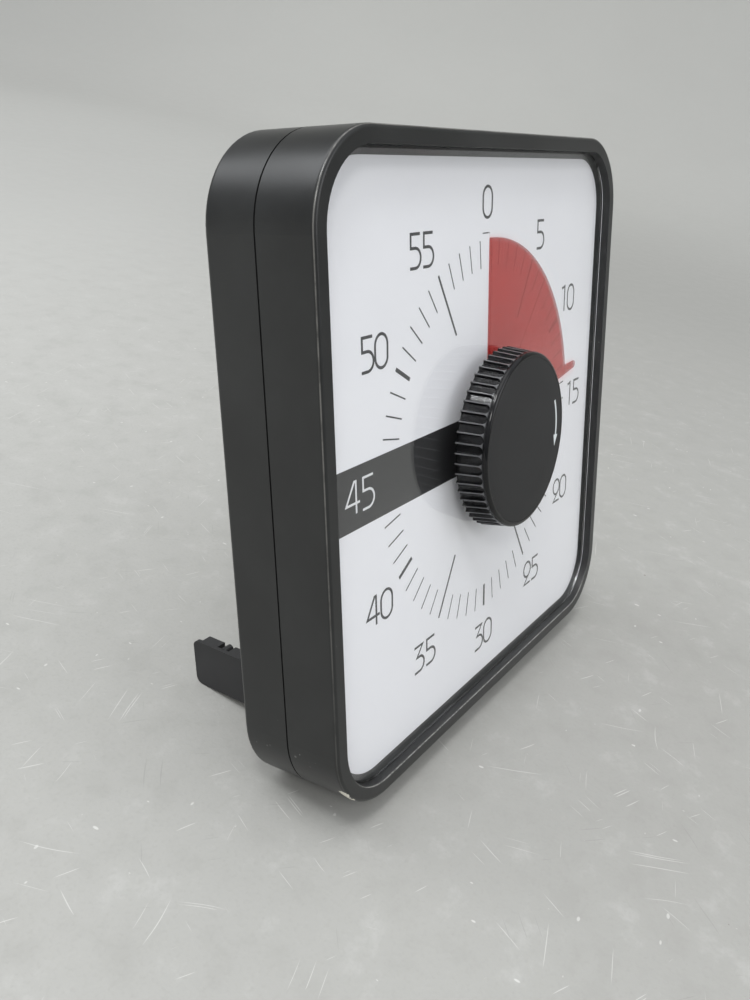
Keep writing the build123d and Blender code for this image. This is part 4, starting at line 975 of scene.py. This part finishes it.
def grooved(radius, out, angle):
    """Radius of the knob's surface where a groove with a flat floor and steep flanks cuts into it."""
    if radius < skirt_inner + groove_depth or out > groove_end:
        return radius
    sideways = abs(angle) * radius
    beyond = max(0.0, out - (groove_end - groove_half))
    flank = (groove_half - math.hypot(sideways, beyond)) / flank_run
    flank = max(0.0, min(1.0, flank))
    return radius - groove_depth * flank * flank * (3 - 2 * flank)


# %% Knob
knob_shell = turned("ribbed_knob", wall + lip + inside, groove_count, groove_columns, knob_black, grooved)
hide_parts("knob")
rides(knob_shell, "knob")

# %% [markdown]
# ## The cap and its arrow
#
# A flat matte disc is pressed into the knob's face, flush with the glossy lip round it, and its edge
# is only just broken. A white arrow on its right side shows which way the knob winds back: it is an
# arc of ribbon, widened at its end into a head.

# %% Cap
cap_radius, cap_top, cap_round = 27.25, 15.79, 0.1
cap_profile = [(0.02, knob_plate), (cap_radius, knob_plate), (cap_radius, cap_top - cap_round)]
cap_profile += [(cap_radius - cap_round * (1 - math.cos(a)), cap_top - cap_round * (1 - math.sin(a)))
                for a in [math.radians(30 * i) for i in range(1, 4)]]
cap_profile += [(radius, cap_top) for radius in (20.0, 10.0, 0.02)]
cap_disc = turned("knob_cap_disc", cap_profile, 72, [-1, 0, 1], cap_black)
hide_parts("knob_cap")
rides(cap_disc, "knob")

# %% Arrow
arrow_radius, arrow_line, arrow_low, arrow_high = 22.9, 1.0, 15.795, 15.82
arrow_start, arrow_neck, arrow_tip = 66.0, 98.0, 108.0    # degrees clockwise from the top
arrow_steps = 24
arc = [clock_point(arrow_radius, (arrow_start + (arrow_neck - arrow_start) * i / arrow_steps) / 6)
       for i in range(arrow_steps + 1)]
head = [clock_point(arrow_radius - 1.6, arrow_neck / 6), clock_point(arrow_radius + 0.2, arrow_tip / 6),
        clock_point(arrow_radius + 1.6, arrow_neck / 6)]
arrow = gathered([ribbon(arc, arrow_line, arrow_low, arrow_high), slab(head, arrow_low, arrow_high)])
rides(piece_from("cap_arrow", *arrow, arrow_white), "knob")

# %% [markdown]
# ## Small work on the back
#
# The back has no print, but it has things that fingers and tools look for: grip ribs on the battery
# door and on the volume switch, a cross in the head of each screw, and a wedge that shows which way is
# louder. Ribs and crosses are bars with a place, a width, a length and a heading, which is just what the
# tree of the minute marks sets out, so it is used again.

# %% Bars on the back
back_face, screw_face, switch_face = -29.6, -27.9, -29.5
door_ribs = [((0.0, -57.4 + 1.6 * i, back_face), 18.0, 0.8, 0.0) for i in range(5)]
switch_ribs = [((47.8 + 1.1 * i, -50.0, switch_face), 0.5, 4.4, 0.0) for i in range(5)]
crosses = [((x, y, screw_face), 0.8, 3.4, turn)
           for x in (-79.0, 79.0) for y in (-79.9, 78.1) for turn in (20, 110)]
switch_grey, screw_black = inner_finishes["movement_grey"], inner_finishes["chip_black"]
set_out("battery_door_ribs", door_ribs, 0.6, case_black, "battery_door")
set_out("volume_switch_ribs", switch_ribs, 0.4, switch_grey, "switch_knob")
set_out("screw_crosses", crosses, 0.06, screw_black, "case")

# %% Wedge beside the switch
wedge = slab([(44.0, -60.6), (56.0, -60.6), (56.0, -57.6)], back_face - 0.15, back_face + 0.1)
rides(piece_from("volume_wedge", *wedge, leg_black), "case")

# %% [markdown]
# ## Floor
#
# The timer stands on a worn concrete slab that runs back and sweeps up into a wall with no corner, so
# that the ground never ends in a hard line. Its colour is pale grey, with painted light and shade that
# make it paler to the left. The life is in the wear of the slab near the timer: faint mottling,
# hair-thin scratches that run every way, and a few specks.
# A scratch is one cell of a Voronoi pattern that was drawn out long and thin, so each has its own place.

# %% Scratches
def floor_scratches(tree, spot, turn, length, width, share):
    """A mask of thin straight marks that run about one way; sizes in millimetres."""
    waver = add_node(tree, "ShaderNodeTexNoise", {"Vector": spot, "Scale": 0.03, "Detail": 1.0})
    bent = vector_of(tree, "ADD", spot, vector_of(tree, "SCALE", waver.outputs["Color"], Scale=6.0))
    drawn = add_node(tree, "ShaderNodeMapping", {
        "Vector": bent, "Rotation": (0, 0, turn), "Scale": (2.5 * length, 2.5 * width, 1),
    }, vector_type="TEXTURE")
    return scattered(tree, drawn.outputs[0], 1.0, share, 0.24, 14.0, "2D")


# %% Floor tone with painted light and shade
# Painted light and shade: near the timer the slab is painted paler on the left and darker on the right, and
# far away it is painted paler all over and a little darker towards the far left. The wear stays near.
floor_grey, tree, shader = new_material("worn_concrete")
spot = add_node(tree, "ShaderNodeTexCoord").outputs["Object"]
apart = vector_of(tree, "LENGTH", spot)
sideways = vector_of(tree, "DOT_PRODUCT", spot, (0.5, -0.866, 0))
clouds = noise_of(tree, spot, 3.0, 4.0)
mottle = noise_of(tree, spot, 55.0, 6.0, 0.65)
sand = noise_of(tree, spot, 700.0, 2.0)
near_painted_light = blend_of(tree, step_of(tree, sideways, -0.4, 0.15), (0.48, 0.478, 0.455), (0.37, 0.367, 0.346))
far_painted_light = blend_of(tree, step_of(tree, sideways, -1.6, -0.1), (0.52, 0.517, 0.49), (0.60, 0.597, 0.565))
tone = blend_of(tree, step_of(tree, apart, 0.7, 1.9), near_painted_light, far_painted_light)
tone = blend_of(tree, step_of(tree, clouds, 0.25, 0.75, 0.0, 0.1), tone, (0.40, 0.395, 0.37))
worn_here = step_of(tree, apart, 0.8, 0.2)

# %% Floor wear
for strength, grit, low, high, colour in (
    (0.22, mottle, 0.48, 0.68, (0.30, 0.295, 0.275)), (0.22, mottle, 0.46, 0.3, (0.58, 0.58, 0.56)),
    (0.22, sand, 0.5, 0.75, (0.33, 0.32, 0.30)),
):
    mask = product_of(tree, step_of(tree, grit, low, high), worn_here, strength)
    tone = blend_of(tree, mask, tone, colour)
pale_mark, dark_mark = (0.72, 0.72, 0.69), (0.27, 0.265, 0.25)
spot_mm = vector_of(tree, "SCALE", spot, Scale=1000.0)
for turn, length, width, share, strength, colour in (
    (0.35, 14, 0.3, 0.030, 0.45, pale_mark), (1.25, 9, 0.3, 0.030, 0.45, pale_mark),
    (2.1, 18, 0.3, 0.030, 0.45, pale_mark), (2.75, 7, 0.35, 0.030, 0.45, pale_mark),
    (0.8, 12, 0.35, 0.025, 0.35, dark_mark), (2.45, 8, 0.35, 0.025, 0.35, dark_mark),
    (1.7, 2.2, 1.0, 0.012, 0.6, pale_mark), (0.2, 2.0, 1.0, 0.012, 0.5, pale_mark),
):
    mask = product_of(tree, floor_scratches(tree, spot_mm, turn, length, width, share), worn_here, strength)
    tone = blend_of(tree, mask, tone, colour)
specks = effect(tree, dust, Per_millimetre=0.06, Share=0.10, Speck=0.05).outputs["Specks"]
fill(shader, {
    "Base Color": blend_of(tree, product_of(tree, specks, worn_here, 0.7), tone, (0.17, 0.155, 0.13)),
    "Roughness": step_of(tree, mottle, 0.3, 0.7, 0.68, 0.85),
    "Normal": bump_of(tree, sand, 0.25, 0.3),
})

# %% Floor sheet
# The sheet lies along the direction of view, so that its sweep is square to the camera.
floor_turn = -60.0
floor_near, floor_far, floor_half, sweep_radius, wall_height = 2.5, 1.6, 6.0, 0.9, 2.2
run = [(-floor_near + (floor_near + floor_far) * i / 40, 0.0) for i in range(41)]
run += [(floor_far + sweep_radius * math.sin(a), sweep_radius * (1 - math.cos(a)))
        for a in [math.radians(5 * i) for i in range(1, 19)]]
run += [(floor_far + sweep_radius, sweep_radius + wall_height)]
across = [floor_half * (i / 10 - 1) for i in range(21)]
points = [(side, along, up) for along, up in run for side in across]
wide = len(across)
faces = [(i * wide + j, i * wide + j + 1, (i + 1) * wide + j + 1, (i + 1) * wide + j)
         for i in range(len(run) - 1) for j in range(wide - 1)]
floor = piece_from("concrete_sweep", points, faces, floor_grey, 60, place=turn_about(floor_turn, "Z"))
print("floor:", len(faces), "faces")

# %% [markdown]
# ## Light
#
# The light is that of a room with a bright ceiling and a skylight behind: soft, from above and from
# the back, so that the floor in front of the case lies in its shade and the round corners shine. A
# weaker window on the right shapes the dial. Two small bright ones, on the left and overhead, draw
# crisp lights on glossy edges. An even glow fills the shadows; it is stronger overhead than at eye
# level, so glossy black stays black where it mirrors the room's far side. A camera ray that passes the
# floor's edge sees plain pale grey.

# %% World
world = bpy.data.worlds.new("soft_room")
bpy.context.scene.world = world
world.use_nodes = True
tree = world.node_tree
room_glow, backdrop_grey = (0.94, 0.965, 1.0), (0.44, 0.44, 0.428)
overhead = axes_of(tree, add_node(tree, "ShaderNodeTexCoord").outputs["Generated"])["Z"]
glow = add_node(tree, "ShaderNodeBackground", {
    "Color": opaque(room_glow), "Strength": step_of(tree, overhead, -0.1, 0.9, 0.275, 0.85)})
plain = add_node(tree, "ShaderNodeBackground", {"Color": opaque(backdrop_grey), "Strength": 1.0})
seen = add_node(tree, "ShaderNodeLightPath").outputs["Is Camera Ray"]
either = add_node(tree, "ShaderNodeMixShader", {0: seen, 1: glow.outputs[0], 2: plain.outputs[0]})
output = next(node for node in tree.nodes if node.type == "OUTPUT_WORLD")
fill(output, {"Surface": either.outputs[0]})


# %% Lamps
def soft_lamp(name, position, aim, size, power, colour):
    """A square soft lamp that looks at a point and is not seen itself."""
    lamp = bpy.data.lights.new(name, "AREA")
    lamp.shape = "SQUARE"
    lamp.size = size
    lamp.energy = power
    lamp.color = colour
    holder = bpy.data.objects.new(name, lamp)
    bpy.context.scene.collection.objects.link(holder)
    holder.location = position
    holder.rotation_euler = (Vector(aim) - Vector(position)).to_track_quat("-Z", "Y").to_euler()
    holder.visible_camera = False
    return holder


middle = (0, 0, 0.1)
lamps = [
    soft_lamp("ceiling", (-0.25, 0.2, 1.9), (0, 0, 0), 1.5, 11.5, (1, 1, 1)),
    soft_lamp("back_skylight", (-0.6, 1.4, 1.5), middle, 1.1, 10, (0.95, 0.975, 1.0)),
    soft_lamp("right_window", (0.6, -1.5, 0.9), middle, 0.9, 5, (0.97, 0.98, 1.0)),
    soft_lamp("left_window", (-1.2, -0.7, 1.35), middle, 0.3, 6, (1.0, 0.99, 0.96)),
    soft_lamp("roof_pane", (-0.82, -0.1, 1.75), middle, 0.3, 7, (0.97, 0.985, 1.0)),
]
bpy.context.scene.view_settings.view_transform = "Standard"
print("lamps:", len(lamps), "and an even glow")

# %% [markdown]
# ## Close the file

# %% The end
bpy.context.view_layer.update()
